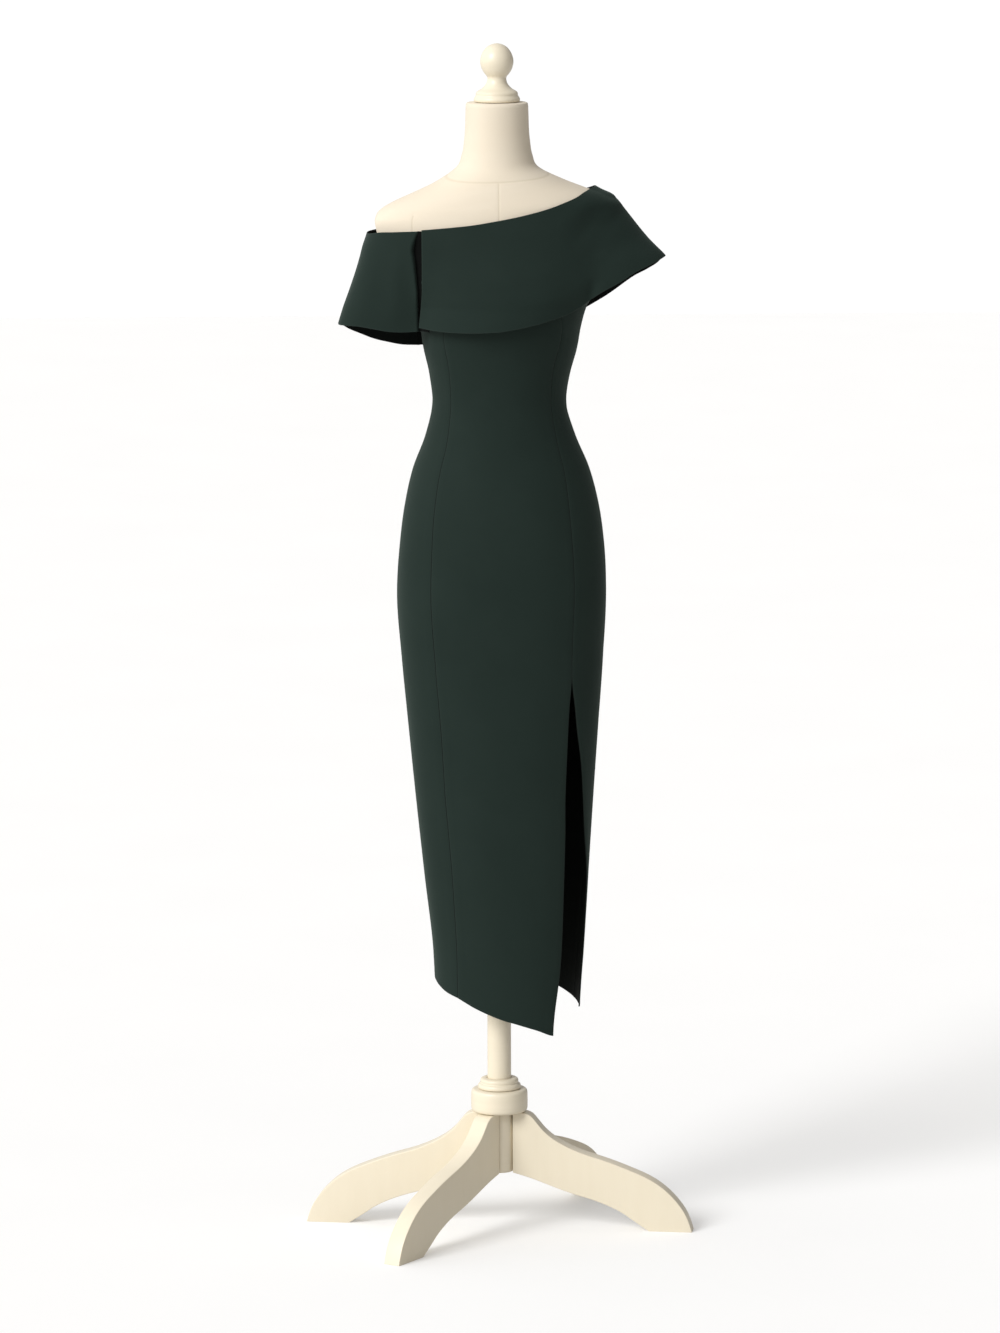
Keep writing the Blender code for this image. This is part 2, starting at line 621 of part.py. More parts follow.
def rod(name, radius, length, centre, sides=24):
    """A round rod along X."""
    bpy.ops.mesh.primitive_cylinder_add(vertices=sides, radius=mm(radius), depth=mm(length),
                                        location=[mm(c) for c in centre],
                                        rotation=(0, math.pi / 2, 0))
    thing = bpy.context.object
    thing.name = name
    bpy.ops.object.transform_apply(location=True, rotation=True, scale=True)
    return thing


def combine(thing, other, operation):
    """Join or cut a piece with a hidden guide."""
    step = thing.modifiers.new(operation.lower(), "BOOLEAN")
    step.operation = operation
    step.solver = "EXACT"
    step.object = guide(other)


def zip_pieces():
    """Slider and drop pull at the top of the centre back, set square on the cloth's slope."""
    low = band_point(np.array(0.0), np.array(ZIP_HEIGHT - SLOPE_BELOW), True)
    high = band_point(np.array(0.0), np.array(ZIP_HEIGHT + SLOPE_ABOVE), True)
    lean = math.atan2(low[1] - high[1], high[2] - low[2])
    on_cloth = band_point(np.array(0.0), np.array(ZIP_HEIGHT), True)
    hinge = (0.0, mm(on_cloth[1] + PIN_HEIGHT * math.cos(lean)),
             mm(ZIP_HEIGHT + PIN_HEIGHT * math.sin(lean)))

    base = box("zip_slider", SLIDER_SIZE, (0, SLIDER_STANDS_OFF + SLIDER_SIZE[1] / 2 - PIN_HEIGHT, 0))
    for side, label in ((-1, "a"), (1, "b")):
        middle = side * (EAR_INNER + EAR_WIDTH / 2)
        ear = box("ear_" + label, (EAR_WIDTH, PIN_HEIGHT, 2 * EAR_RADIUS),
                  (middle, EAR_RISE - PIN_HEIGHT / 2, 0))
        combine(base, ear, "UNION")
    pin = rod("pin", PIN_RADIUS, 2 * EAR_INNER + EAR_WIDTH, (0, 0, 0), 16)
    combine(base, pin, "UNION")

    pull = rod("zip_pull", EYE_RADIUS, EYE_WIDTH, (0, 0, 0))
    half = PULL_WIDTH / 2
    neck = EYE_WIDTH / 2 - NECK_INSET
    start = -EYE_BORE - NECK_OVERLAP
    outline = [(-neck, start), (neck, start), (neck, -NECK_LENGTH)]
    drop_top = PULL_LENGTH - half
    outline += [(half * math.cos(a), -drop_top - half * math.sin(a))
                for a in np.linspace(0, math.pi, TIP_POINTS)]
    outline += [(-neck, -NECK_LENGTH)]
    mesh = bpy.data.meshes.new("drop")
    work = bmesh.new()
    verts = [work.verts.new((mm(x), mm(-PULL_THICKNESS / 2), mm(z))) for x, z in outline]
    face = work.faces.new(verts)
    grown = bmesh.ops.extrude_face_region(work, geom=[face])
    moved = [v for v in grown["geom"] if isinstance(v, bmesh.types.BMVert)]
    bmesh.ops.translate(work, verts=moved, vec=(0, mm(PULL_THICKNESS), 0))
    bmesh.ops.recalc_face_normals(work, faces=work.faces)
    work.to_mesh(mesh)
    work.free()
    drop = bpy.data.objects.new("drop", mesh)
    GUIDES.objects.link(drop)
    combine(pull, drop, "UNION")
    bore = rod("eye_bore", EYE_BORE, EYE_WIDTH + 2, (0, 0, 0))
    combine(pull, bore, "DIFFERENCE")

    tip = band_point(np.array(0.0), np.array(ZIP_HEIGHT - PULL_LENGTH), True)
    tip_out = tip[1] + TOUCH + PULL_THICKNESS / 2 - hinge[1] / mm(1)
    hang = math.asin(tip_out / PULL_LENGTH)
    for thing, turn in ((base, lean), (pull, hang)):
        place = bpy.data.objects.new(thing.name + "_place", None)
        DRESS.objects.link(place)
        place.location = hinge
        place.rotation_euler = (turn, 0, 0)
        thing.data.materials.clear()
        thing.data.materials.append(new_material(thing.name, "zip"))
        move_to(thing, DRESS)
        thing.parent = place
        for step in thing.modifiers:
            step.object.parent = place


BAND_ROWS = 10
BAND_PLAIN_COLUMNS = 5
BAND_FAN_COLUMNS = 13
BAND_SLEEVE_COLUMNS = 8
TUCK_STEPS = 3
FORM_COLUMNS = 40
FIGURE_LEVELS = (945, 1008, 1060, 1110, 1160, 1205, 1245, 1275, 1305, 1335, 1370, 1400, 1423,
                 1440, 1455)
DRESS_LEVELS = (440, 520, 610, 700, 790, FORM_BOTTOM) + FIGURE_LEVELS
TOP_STEPS = 3
FORM_ROWS = (1757, 1735, 1705, 1690, 1676, 1663, 1650, 1638, 1628, 1616, 1605, 1592, 1575, 1550,
             1530, 1510, 1490, 1472) + FIGURE_LEVELS[::-1] + (FORM_BOTTOM,)

clear_scene()
DRESS = new_collection("off_shoulder_dress_on_form")
GUIDES = new_collection("guides", hidden=True)
dress_panels()
band_front()
band_back()
sleeve()
form_body()
turned_pieces()
legs()
zip_pieces()
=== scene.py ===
import math

import bpy
import numpy as np
from mathutils import Matrix, Vector


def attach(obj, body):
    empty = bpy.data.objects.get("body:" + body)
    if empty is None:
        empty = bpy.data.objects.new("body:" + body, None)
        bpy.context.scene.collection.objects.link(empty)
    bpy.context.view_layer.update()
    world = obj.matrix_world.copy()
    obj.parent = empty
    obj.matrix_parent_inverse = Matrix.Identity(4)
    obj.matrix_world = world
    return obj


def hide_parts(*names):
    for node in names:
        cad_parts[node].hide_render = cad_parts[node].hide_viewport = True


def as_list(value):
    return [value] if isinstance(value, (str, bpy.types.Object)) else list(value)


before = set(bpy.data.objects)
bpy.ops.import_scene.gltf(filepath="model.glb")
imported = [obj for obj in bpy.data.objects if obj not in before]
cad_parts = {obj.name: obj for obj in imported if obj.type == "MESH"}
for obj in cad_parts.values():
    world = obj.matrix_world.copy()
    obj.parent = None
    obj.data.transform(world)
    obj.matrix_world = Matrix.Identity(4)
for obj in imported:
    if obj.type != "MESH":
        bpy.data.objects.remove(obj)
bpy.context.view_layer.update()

# The dress and its form, in millimetres: +Z up, the dress faces -Y, the wearer's right is -X.
MM = 0.001
BODY = "dress_and_form"

# Cloth
CLOTH = 1.6
BAND_CLOTH = 2.0
EASE = 1.0
TOP_EASE = 1.6
DRESS_OUT = EASE + CLOTH
BAND_OUT = DRESS_OUT + BAND_CLOTH + 1.4
SEAM_DIP = 0.45
SEAM_DIP_REACH = 2.4
TURNING = 13.0
TURNING_STEP = 0.22
HEM_TURNING = 34.0
HEM_STEP = 0.12
STEP_SLOPE = 2.0
FAR_FROM_SEAM = 99.0

# Grids: lines in a rounded rim, rows and lines between the rims, nominal lengths up a piece, and
# the samples that measure a row's real length
EDGE_LINES = np.array((0.0, 0.12, 0.4, 0.9, 1.8, 3.2, 5.5))
DRESS_ROWS = 190
SIDE_LINES = 24
BACK_LINES = 26
FRONT_LINES = 60
DRESS_LENGTH = 1140.0
DRESS_SAMPLES = 160
DRESS_MIDDLE = (350.0, 1100.0)
HEM_PASSES = 7
BAND_ROWS = 56
BAND_LINES = 150
BAND_LENGTH = 150.0
BAND_SAMPLES = 420
ROWS_APART = 1e5

# The figure under the cloth: superellipse sections by height
FIGURE = (
    ("height", "half_width", "front", "back", "centre", "fullness"),
    (280, 110, 82, 82, 13.4, 2.2),
    (350, 110, 82, 83, 13.4, 2.2),
    (440, 114.5, 83, 85, 14.8, 2.2),
    (560, 124.5, 86, 91, 11.8, 2.2),
    (680, 134.5, 90, 98, 9.2, 2.2),
    (800, 144.6, 95, 106, 7.4, 2.2),
    (900, 152.9, 99, 114, 6.3, 2.2),
    (1008, 159.1, 104, 122, 5.4, 2.2),
    (1080, 155.3, 103, 121, 6.2, 2.2),
    (1140, 147.4, 99, 111, 6, 2.2),
    (1200, 132.8, 93, 95, 5, 2.15),
    (1250, 112.8, 87, 82, 4, 2.1),
    (1305, 100.1, 84, 75, 2.4, 2.1),
    (1345, 105.5, 88, 79, 3.2, 2.1),
    (1385, 115.5, 98, 85, 4.2, 2.1),
    (1420, 121.5, 112, 90, 4.6, 2.05),
    (1455, 133, 120, 95, 4, 2),
    (1490, 157, 114, 98, 3, 1.92),
    (1530, 178, 98, 98, 1, 1.88),
    (1568, 184.5, 86, 93, 0, 1.9),
    (1592, 186.5, 79.5, 86, 0, 1.95),
    (1605, 179, 76.5, 81, 0, 2),
    (1616, 160, 73, 77, 0, 2),
    (1628, 131, 69.5, 72, 0, 2),
    (1638, 107, 66, 68, 0, 2),
    (1650, 83, 61, 63, 0, 2),
    (1663, 63, 55, 57.5, 0, 2),
    (1682, 54.2, 50.5, 53, 0, 2),
    (1705, 50.4, 48, 50, 0, 2),
    (1752, 48, 46.5, 47.5, 0, 2),
)
NECK_TOP = 1762.0
FORM_BOTTOM = 882.0
SHOULDER_TILT = 0.035
TILT_STARTS = (1520.0, 1580.0)
TILT_ENDS = (1640.0, 1672.0)
ARM_PLATE = 1.03
PLATE_STARTS = (1505.0, 1535.0)
PLATE_ENDS = (1590.0, 1606.0)
TOP_EASE_STARTS = (1450.0, 1472.0)
BUST_HEIGHT = 1455.0
BLADE_HEIGHT = 1500.0

# Seams of the dress as a share of the half width, by height
SEAMS = (
    ("height", "front_right", "front_left", "slit_front", "slit_back", "back"),
    (280, -0.71, 0.61, 0.61, 0.99, 0.62),
    (317, -0.71, 0.612, 0.612, 0.99, 0.62),
    (405, -0.71, 0.672, 0.672, 0.99, 0.62),
    (500, -0.69, 0.688, 0.688, 0.988, 0.62),
    (560, -0.675, 0.688, 0.688, 0.978, 0.62),
    (637, -0.675, 0.682, 0.682, 0.915, 0.62),
    (692, -0.68, 0.668, 0.668, 0.874, 0.62),
    (744, -0.675, 0.667, 0.667, 0.83, 0.62),
    (796, -0.672, 0.667, 0.667, 0.765, 0.62),
    (836, -0.675, 0.669, 0.669, 0.725, 0.62),
    (876, -0.68, 0.679, 0.679, 0.682, 0.62),
    (920, -0.683, 0.67, 0.67, 0.67, 0.62),
    (1018, -0.692, 0.675, 0.675, 0.675, 0.61),
    (1140, -0.709, 0.675, 0.675, 0.675, 0.6),
    (1230, -0.715, 0.715, 0.715, 0.715, 0.6),
    (1300, -0.745, 0.755, 0.755, 0.755, 0.62),
    (1370, -0.724, 0.715, 0.715, 0.715, 0.6),
    (1410, -0.735, 0.745, 0.745, 0.745, 0.58),
    (1480, -0.6, 0.6, 0.6, 0.6, 0.52),
    (1540, -0.56, 0.56, 0.56, 0.56, 0.5),
)
LEFT_SIDE_SEAM = ((280, 112), (560, 106), (760, 97), (900, 90), (1540, 90))

# Lower and upper edge of the dress by the angle round the figure, 0 in front and 90 at +X
HEM = ((-180, 386), (-135, 394), (-90, 400), (-72, 392), (-58, 384), (-43, 377), (-26, 363),
       (-15, 354), (0, 342), (20, 328), (37, 317), (70, 349), (100, 353), (115, 359),
       (127, 365), (140, 372), (180, 386))
BODICE_TOP = ((-180, 1518), (-140, 1505), (-115, 1476), (-90, 1468), (-62, 1480), (-35, 1510),
              (0, 1516), (35, 1510), (62, 1480), (90, 1468), (115, 1476), (140, 1505),
              (180, 1518))

# The band round the shoulders: half widths to its outer edges and the flare's depths, and then
# the places across it where its pieces end, from the centre line
BAND = (
    ("height", "left_reach", "right_reach", "left_front", "left_back", "right_front", "right_back"),
    (1370, 318, 261, 82, 98, 60, 101),
    (1420, 308, 246, 82, 97, 63, 96),
    (1450, 300, 236.5, 82, 95, 71, 92),
    (1480, 287, 225.5, 80, 92, 78, 90),
    (1505, 271, 217, 79, 88, 83, 88),
    (1526, 256, 211, 78, 84, 86, 88),
    (1540, 243.5, 207.5, 75, 80, 86, 87),
    (1566, 221.3, 199.3, 70, 74, 85, 86),
    (1594, 199.3, 196, 60, 62, 82, 84),
    (1612, 185, 194, 54, 56, 80, 82),
    (1621, 176.4, 192, 50, 52, 78, 80),
    (1628, 161, 190, 45, 47, 76, 78),
    (1636, 147, 188, 38, 40, 74, 76),
)
BAND_ROUNDNESS = (2.3, 2.8)
HALVES_MEET = 60.0
BAND_FRONT_EDGE = 118.3
BAND_BACK_EDGE = 120.0
VALLEY_EDGE = 121.2
TUCK_END = 107.0
TUCK_STEEP = 0.5
TUCK_SHADE_STEEP = 0.45
RIGHT_PART = 0.5
SLEEVE_PARTS = (0.46, 0.86)
MEET = 10.0

# Edges of the band's pieces by the share of the way from the centre line to the outer edge
NECK_FRONT_LEFT = ((0, 1588), (0.11, 1592), (0.41, 1605.5), (0.575, 1615), (0.771, 1625.5),
                   (0.886, 1630), (1, 1634))
HEM_FRONT_LEFT = ((0, 1421.8), (0.1, 1427), (0.226, 1436), (0.34, 1446), (0.464, 1464),
                  (0.549, 1477), (0.642, 1488.6), (0.77, 1505), (0.883, 1515.4), (1, 1525))
NECK_FRONT_RIGHT = ((0, 1588), (0.31, 1582), (0.686, 1577), (1, 1573.4))
HEM_FRONT_RIGHT = ((0, 1421.8), (0.35, 1419.6), (0.57, 1419.5), (0.77, 1420.2), (1, 1423.3))
NECK_BACK_LEFT = ((0, 1586), (0.4, 1602), (0.6, 1613), (0.8, 1625), (1, 1634))
HEM_BACK_LEFT = ((0, 1388), (0.3, 1413), (0.55, 1452), (0.763, 1489), (0.858, 1501),
                 (0.947, 1514), (1, 1525))
NECK_BACK_RIGHT = ((0, 1586), (0.5, 1576), (1, 1569))
HEM_BACK_RIGHT = ((0, 1388), (0.5, 1383), (1, 1379.5))
NECK_SLEEVE_FRONT = ((0, 1571.5), (0.48, 1569.3), (0.84, 1566.8), (1, 1563.4))
HEM_SLEEVE_FRONT = ((0, 1416), (0.18, 1414.8), (0.34, 1415.3), (0.56, 1419.3), (0.78, 1423),
                    (1, 1423))
NECK_SLEEVE_BACK = ((0, 1569), (0.6, 1566), (1, 1563.4))
HEM_SLEEVE_BACK = ((0, 1379.5), (0.19, 1381), (0.346, 1385.5), (0.5, 1391), (0.67, 1400),
                   (0.856, 1411), (1, 1423))
TUCK = (("height", "depth", "width"), (1370, 7, 3), (1416, 7, 3), (1456, 7, 4), (1476, 7.2, 5),
        (1505, 8.5, 8), (1528, 9.5, 11), (1543, 9, 13.5), (1559, 5, 9), (1572, 0.6, 3))

# Soft folds pressed into the cloth: place across and height of the line's two ends, its
# width, and its height out of the cloth, negative for a trough. On the dress the place across is
# the angle from the centre front times MM_PER_DEGREE.
DRESS_FOLDS = (
    (-30, 1330, -12, 1290, 26, 0.7),
    (34, 1345, 14, 1300, 24, 0.6),
    (-52, 1270, -30, 1225, 22, -0.5),
    (50, 1262, 30, 1215, 22, -0.5),
    (24, 905, 44, 700, 20, 1.2),
    (-18, 900, -6, 520, 42, 1.3),
    (12, 760, 20, 380, 30, -1.2),
    (-46, 760, -38, 420, 26, 1.0),
    (-66, 980, -60, 620, 30, -0.8),
    (-110, 960, -118, 480, 30, 1.2),
    (-150, 820, -146, 420, 34, 1.5),
    (172, 900, 166, 430, 34, 1.4),
    (140, 780, 136, 420, 30, -1.0),
    (160, 1330, 176, 1290, 24, 0.8),
    (-164, 1345, -176, 1305, 22, 0.7),
)
FRONT_FOLDS = (
    (143, 1496, 137, 1448, 10, -2.6),
    (122, 1500, 116, 1446, 16, 1.0),
    (164, 1606, 108, 1546, 14, -2.2),
    (160, 1628, 92, 1580, 11, 1.5),
    (190, 1590, 150, 1520, 15, 1.6),
    (205, 1560, 222, 1505, 22, -1.6),
    (60, 1560, 20, 1500, 40, -1.0),
    (-90, 1560, -104, 1440, 14, -0.8),
    (80, 1470, 40, 1432, 26, 0.9),
)
BACK_FOLDS = (
    (150, 1560, 132, 1450, 12, -3.0),
    (176, 1612, 112, 1556, 13, -2.2),
    (70, 1580, 20, 1470, 34, 1.6),
    (200, 1570, 228, 1505, 24, -1.6),
    (-40, 1560, -70, 1420, 30, -1.6),
    (-138, 1545, -146, 1400, 22, -1.2),
    (-196, 1530, -214, 1420, 22, 1.6),
)
SLEEVE_FOLDS = (
    (-152, 1560, -160, 1420, 14, 1.4),
    (-176, 1550, -192, 1420, 18, -1.2),
    (-198, 1540, -222, 1425, 16, 1.0),
)
FOLD_TAPER = (0.94, 0.03)
FOLD_TAPER_POWER = 0.7
MM_PER_DEGREE = 2.1
DRESS_DENT_MOST = 0.4
FOLDS_OFF_FORM = 0.65
FORM_EDGE_BLEND = 30.0
BAND_DENT_MOST = 2.2
RIDGE_CALM = 24.0
HEM_LIFT = 6.6
HEM_LIFT_REACH = 62.0

# Form cover: its seams, its rows as start, end and spacing, and its rims as shares of a row
COVER_SEAM = 128.0
COVER_SEAM_SHARE = 0.69
COVER_SEAM_WIDEST = 0.97
PRINCESS_BENDS = 1570.0
PRINCESS_FADES = (1598.0, 1608.0)
FRONT_SEAM_FADES = (1652.0, 1660.0)
COVER_SEAMS = 8
PRINCESS_SEAMS = (1, 3, 5, 7)
FRONT_SEAM = 4
COVER_DIP = 0.32
COVER_DIP_REACH = 1.5
NECK_SEAM = 1653.5
NECK_SEAM_DROP = 9.5
NECK_SEAM_SPREAD = 26.0
NECK_EDGE_DROP = 4.0
COVER_ROWS = ((FORM_BOTTOM + 6, 1560.0, 6.0), (1560.0, 1640.0, 2.0), (1640.0, 1664.0, 0.6),
              (1664.0, 1757.0, 2.0))
COVER_LINES = np.array((0.0, 0.004, 0.009, 0.016, 0.026, 0.04))
COVER_BETWEEN = np.linspace(0.06, 0.94, 23)
NECK_RIM = ((0.986, 0.55), (0.96, 0.85), (0.92, 1.0), (0.52, 1.0))
FORM_FOOT = ((0.64, 0.0), (0.964, 0.0), (0.985, 1.0), (0.9964, 3.0))
POLE_BORE = 19.0
POLE_TOP = 940.0

# Stand: the feet's curves, and outlines of the turned pieces as radius and height
LEG_THICKNESS = 28.0
LEG_EDGE = 1.3
LEG_CORNER_POINTS = 6
LEG_ROUNDS = 2
LEG_PLACES = np.concatenate([[0, 0.002, 0.006], np.linspace(0.012, 0.988, 110), [0.994, 0.998, 1]])
LEG_ANGLES = {"leg_right": 170.5, "leg_left": -9.5, "leg_front": -125.0, "leg_back": 55.0}
LEG_TOP = ((22.8, 184.2), (40, 184.2), (52, 179.5), (61, 168), (74, 152.5), (94, 138),
           (127, 122.5), (170, 110), (203, 98), (236, 84.5), (259, 70), (278, 52), (294, 31),
           (302, 11), (305, 0))
LEG_UNDER = ((22.8, 88), (50, 80.5), (81, 69), (113, 57.5), (157, 45.5), (192, 30.5), (214, 15),
             (237, 0))
FINIAL = ((0, 1852), (8, 1850.7), (16, 1846.2), (22.2, 1838), (25.4, 1828.5), (25.6, 1820.5),
          (22.6, 1811), (18, 1804.5), (14.6, 1801), (14.3, 1796), (16.6, 1789.5),
          (22.5, 1783), (30, 1779), (32.4, 1776.2), (32, 1773), (33.4, 1770.8),
          (35.6, 1767.5), (35.2, 1764), (33.6, 1762.3), (0, 1762.3))
COLLAR_UPPER = ((19, 237.5), (26.5, 237.5), (29.4, 235.5), (30, 232.5), (29.2, 229.6), (32, 228.4),
                (33.7, 225.8), (33.7, 222.4), (32.6, 220.8), (19, 220.8))
COLLAR_LOWER = ((19, 220.5), (38.5, 220.5), (42.2, 219.2), (44, 216.2), (44.3, 208), (44.3, 190),
                (43, 186.6), (40.5, 184.5), (19, 184.5))
POLE = ((0, POLE_TOP), (18.5, POLE_TOP), (18.5, POLE_TOP - 2), (18.5, 560), (18.5, 186.2),
        (18.5, 184.5), (0, 184.5))
SEAT = ((POLE_BORE, 881.7), (64, 881.7), (68, 881.7), (68, 877.7), (68, 871.7), (68, 867.7),
        (64, 867.7), (POLE_BORE, 867.7))
HUB = ((0, 184.2), (21.3, 184.2), (22.5, 183), (22.5, 89.2), (20.5, 88), (0, 88))
TURNED = (("neck_finial", "finial", FINIAL, 3), ("round_pole", "pole", POLE, 2),
          ("seat_block", "form_seat", SEAT, 3), ("small_collar", "collar_upper", COLLAR_UPPER, 3),
          ("big_collar", "collar_lower", COLLAR_LOWER, 3), ("hub_post", "hub_column", HUB, 2))
TURNED_STEPS = 112
CORNER_TIE = 0.25

# Colours, linear
BOTTLE_GREEN = (0.0130, 0.0235, 0.0195)
# Paler along the cloth's edges: partly the pressed cloth, partly a painted highlight
PRESSED_AND_HIGHLIGHT_GREEN = (0.024, 0.037, 0.032)
GREEN_SHADE = (0.0112, 0.0205, 0.0170)
# The wrong side: a darker back, painted near black as painted shade inside the dress; the first colour
# also paints shade into the seams
INSIDE_AND_PAINTED_SHADE_GREEN = (0.0028, 0.0040, 0.0035)
INSIDE_AND_PAINTED_SHADE_DARK = (0.004, 0.006, 0.005)
# Painted shadow deep in the sleeve's tuck
FOLD_SHADOW = (0.0006, 0.0009, 0.0008)
COTTON_CREAM = (0.765, 0.685, 0.560)
COTTON_SHADE = (0.725, 0.640, 0.510)
# Painted shade in the cover's seam grooves
COTTON_SEAM_PAINTED_SHADE = (0.60, 0.52, 0.39)
PAINT_CREAM = (0.790, 0.715, 0.565)
PAINT_SHADE = (0.774, 0.697, 0.545)
WORN_WOOD = (0.62, 0.50, 0.34)
ENAMEL_GREEN = (0.020, 0.030, 0.026)
RUBBED_METAL = (0.10, 0.11, 0.105)
SHEEN_GREEN = (0.42, 0.56, 0.50, 1.0)
FLOOR_WHITE = (0.82, 0.82, 0.82)
FLOOR_SHADE = (0.79, 0.79, 0.79)
FLOOR_BOUNCE = (0.50, 0.49, 0.47)
WHITE = (1.0, 1.0, 1.0, 1.0)
WARM_WHITE = (1.0, 0.985, 0.965, 1.0)

# Studio light, and the camera's place in metres and turns in degrees
AMBIENT = (1.10, 0.13)
BACKDROP = 1.02
FLOOR_GLOW = 0.20
FLOOR_HALF = 14000.0
KEY_POWER = 2.25
KEY_SOFTNESS = 26.0
KEY_FROM = (-3.3, -3.1, 2.9)
LENS = 176.35
FILM_WIDTH = 36.0
SHIFT_ACROSS = 1.69 / 1333
CAMERA_AT = (-0.3490, -9.9939, 2.4595)
CAMERA_ROUND = 2.0
CAMERA_DOWN = 8.93
CAMERA_ROLL = -0.1427
SEEN_TO = 100.0


def smooth_curve(knots, values, at):
    """Cubic through the knots, with each knot's slope taken from its neighbours."""
    knots = np.asarray(knots, float)
    values = np.asarray(values, float)
    at = np.clip(np.asarray(at, float), knots[0], knots[-1])
    slopes = np.gradient(values, knots)
    left = np.clip(np.searchsorted(knots, at) - 1, 0, len(knots) - 2)
    step = knots[left + 1] - knots[left]
    t = (at - knots[left]) / step
    rise = 1.0 - t
    return (values[left] * (1 + 2 * t) * rise ** 2 + slopes[left] * step * t * rise ** 2
            + values[left + 1] * (3 - 2 * t) * t ** 2 - slopes[left + 1] * step * rise * t ** 2)


def column(table, name, at):
    """A named column of a table with the height first, read at some heights."""
    rows = np.asarray(table[1:], float)
    return smooth_curve(rows[:, 0], rows[:, table[0].index(name)], at)


def edge_curve(table, at):
    """A two-column table read as one smooth line."""
    rows = np.asarray(table, float)
    return smooth_curve(rows[:, 0], rows[:, 1], at)


def step_between(low, high, value):
    """Smooth step from 0 at low to 1 at high."""
    t = np.clip((value - low) / (high - low), 0.0, 1.0)
    return t * t * (3 - 2 * t)


def figure(name, z):
    """A column of the figure's table at some heights."""
    return column(FIGURE, name, z)


def shoulder_lift(x, z):
    """Rise of the shoulders towards the wearer's left, none at the bust or on the neck."""
    return SHOULDER_TILT * x * step_between(*TILT_STARTS, z) * (1 - step_between(*TILT_ENDS, z))


def figure_point(angle, z, out=0.0):
    """Superellipse section of the figure at a height, moved out by some millimetres.

    Between the arm plates' heights the section is widened and cut off flat at its half width.
    """
    turn = np.radians(angle)
    power = 2.0 / figure("fullness", z)
    across = np.sign(np.sin(turn)) * np.abs(np.sin(turn)) ** power
    along = np.abs(np.cos(turn)) ** power
    out = out + TOP_EASE * step_between(*TOP_EASE_STARTS, z) * np.sign(out)
    on_plate = step_between(*PLATE_STARTS, z) * (1 - step_between(*PLATE_ENDS, z))
    across = np.clip(across * (1 + (ARM_PLATE - 1) * on_plate), -1, 1)
    deep = np.where(np.cos(turn) >= 0, figure("front", z), figure("back", z)) + out
    x = figure("centre", z) + (figure("half_width", z) + out) * across
    y = np.where(np.cos(turn) >= 0, -deep * along, deep * along)
    return np.stack([x, y, z + shoulder_lift(x, z)], axis=-1)


def figure_depth(x, z, back, out):
    """Depth of the figure's section at a place across it, with the cloth plumb below the bust."""
    level = z - shoulder_lift(x, z)
    level = np.maximum(level, BLADE_HEIGHT if back else BUST_HEIGHT)
    out = out + TOP_EASE * step_between(*TOP_EASE_STARTS, z)
    share = np.abs(x - figure("centre", level)) / (figure("half_width", level) + out)
    power = figure("fullness", level)
    deep = figure("back" if back else "front", level) + out
    return deep * (1 - np.clip(share, 0, 1) ** power) ** (1 / power)


def band_point(x, z, back):
    """Point on the band: the deeper of the figure and the flare, as a high-power mean."""
    face = "back" if back else "front"
    left = step_between(-HALVES_MEET, HALVES_MEET, x)
    side = np.where(x >= 0, 1.0, 0.0)
    reach = side * column(BAND, "left_reach", z) + (1 - side) * column(BAND, "right_reach", z)
    depth = left * column(BAND, "left_" + face, z) + (1 - left) * column(BAND, "right_" + face, z)
    power = left * BAND_ROUNDNESS[0] + (1 - left) * BAND_ROUNDNESS[1]
    share = np.clip(np.abs(x) / reach, 0, 1)
    flare = depth * (1 - share ** power) ** (1 / power)
    body = figure_depth(x, z, back, BAND_OUT)
    deep = (body ** MEET + flare ** MEET) ** (1 / MEET)
    return np.stack([x, deep if back else -deep, z + 0 * x], axis=-1)


def lengths_along(points, axis):
    """Running length of a grid's lines along one axis, from 0 at their start."""
    step = np.linalg.norm(np.diff(points, axis=axis), axis=-1)
    pad = [(0, 0), (0, 0)]
    pad[axis] = (1, 0)
    return np.pad(np.cumsum(step, axis=axis), pad)


def grid_normals(points):
    """Unit normals of a grid, across turned into up."""
    normal = np.cross(np.gradient(points, axis=1), np.gradient(points, axis=0))
    return normal / np.maximum(np.linalg.norm(normal, axis=-1, keepdims=True), 1e-12)


def fold_relief(across, height, folds):
    """Sum of soft folds: each falls off as a bell across its line and tapers to its two ends."""
    rows = np.asarray(folds, float)
    start, run = rows[:, 0:2], rows[:, 2:4] - rows[:, 0:2]
    width, rise = rows[:, 4], rows[:, 5]
    place = np.stack([across, height + 0 * across], axis=-1)[..., None, :]
    length = np.linalg.norm(run, axis=-1)
    along = ((place - start) * run).sum(-1) / length ** 2
    nearest = start + np.clip(along, 0, 1)[..., None] * run
    away = np.linalg.norm(place - nearest, axis=-1)
    taper = np.sin(np.pi * np.clip(along * FOLD_TAPER[0] + FOLD_TAPER[1], 0, 1)) ** FOLD_TAPER_POWER
    return (rise * np.exp(-(away / width) ** 2) * taper).sum(-1)


def spread(length, count):
    """Places along a length: close lines in both rounded rims and even ones between them."""
    inner = np.linspace(0, 1, count + 1)[1:-1] * (length - 2 * EDGE_LINES[-1]) + EDGE_LINES[-1]
    ends = EDGE_LINES + 0 * length
    return np.concatenate([ends, inner, length - ends[..., ::-1]], axis=-1)


def cloth_grid(surface, height, rows, columns, samples):
    """Grid on a surface of two shares, its lines across placed by real length along each row.

    Each row's lengths stand on a shelf of their own, so that one interpolation reads them all.
    """
    up = (spread(np.array([float(height)]), rows) / height)[:, None]
    share = np.linspace(0, 1, samples)[None, :] + 0 * up
    run = lengths_along(surface(share, up), 1)
    shelf = np.arange(len(up))[:, None] * ROWS_APART
    target = spread(run[:, -1:], columns)
    share = np.interp(target + shelf, (run + shelf).ravel(), share.ravel())
    return surface(share, up + 0 * share), share, up + 0 * share


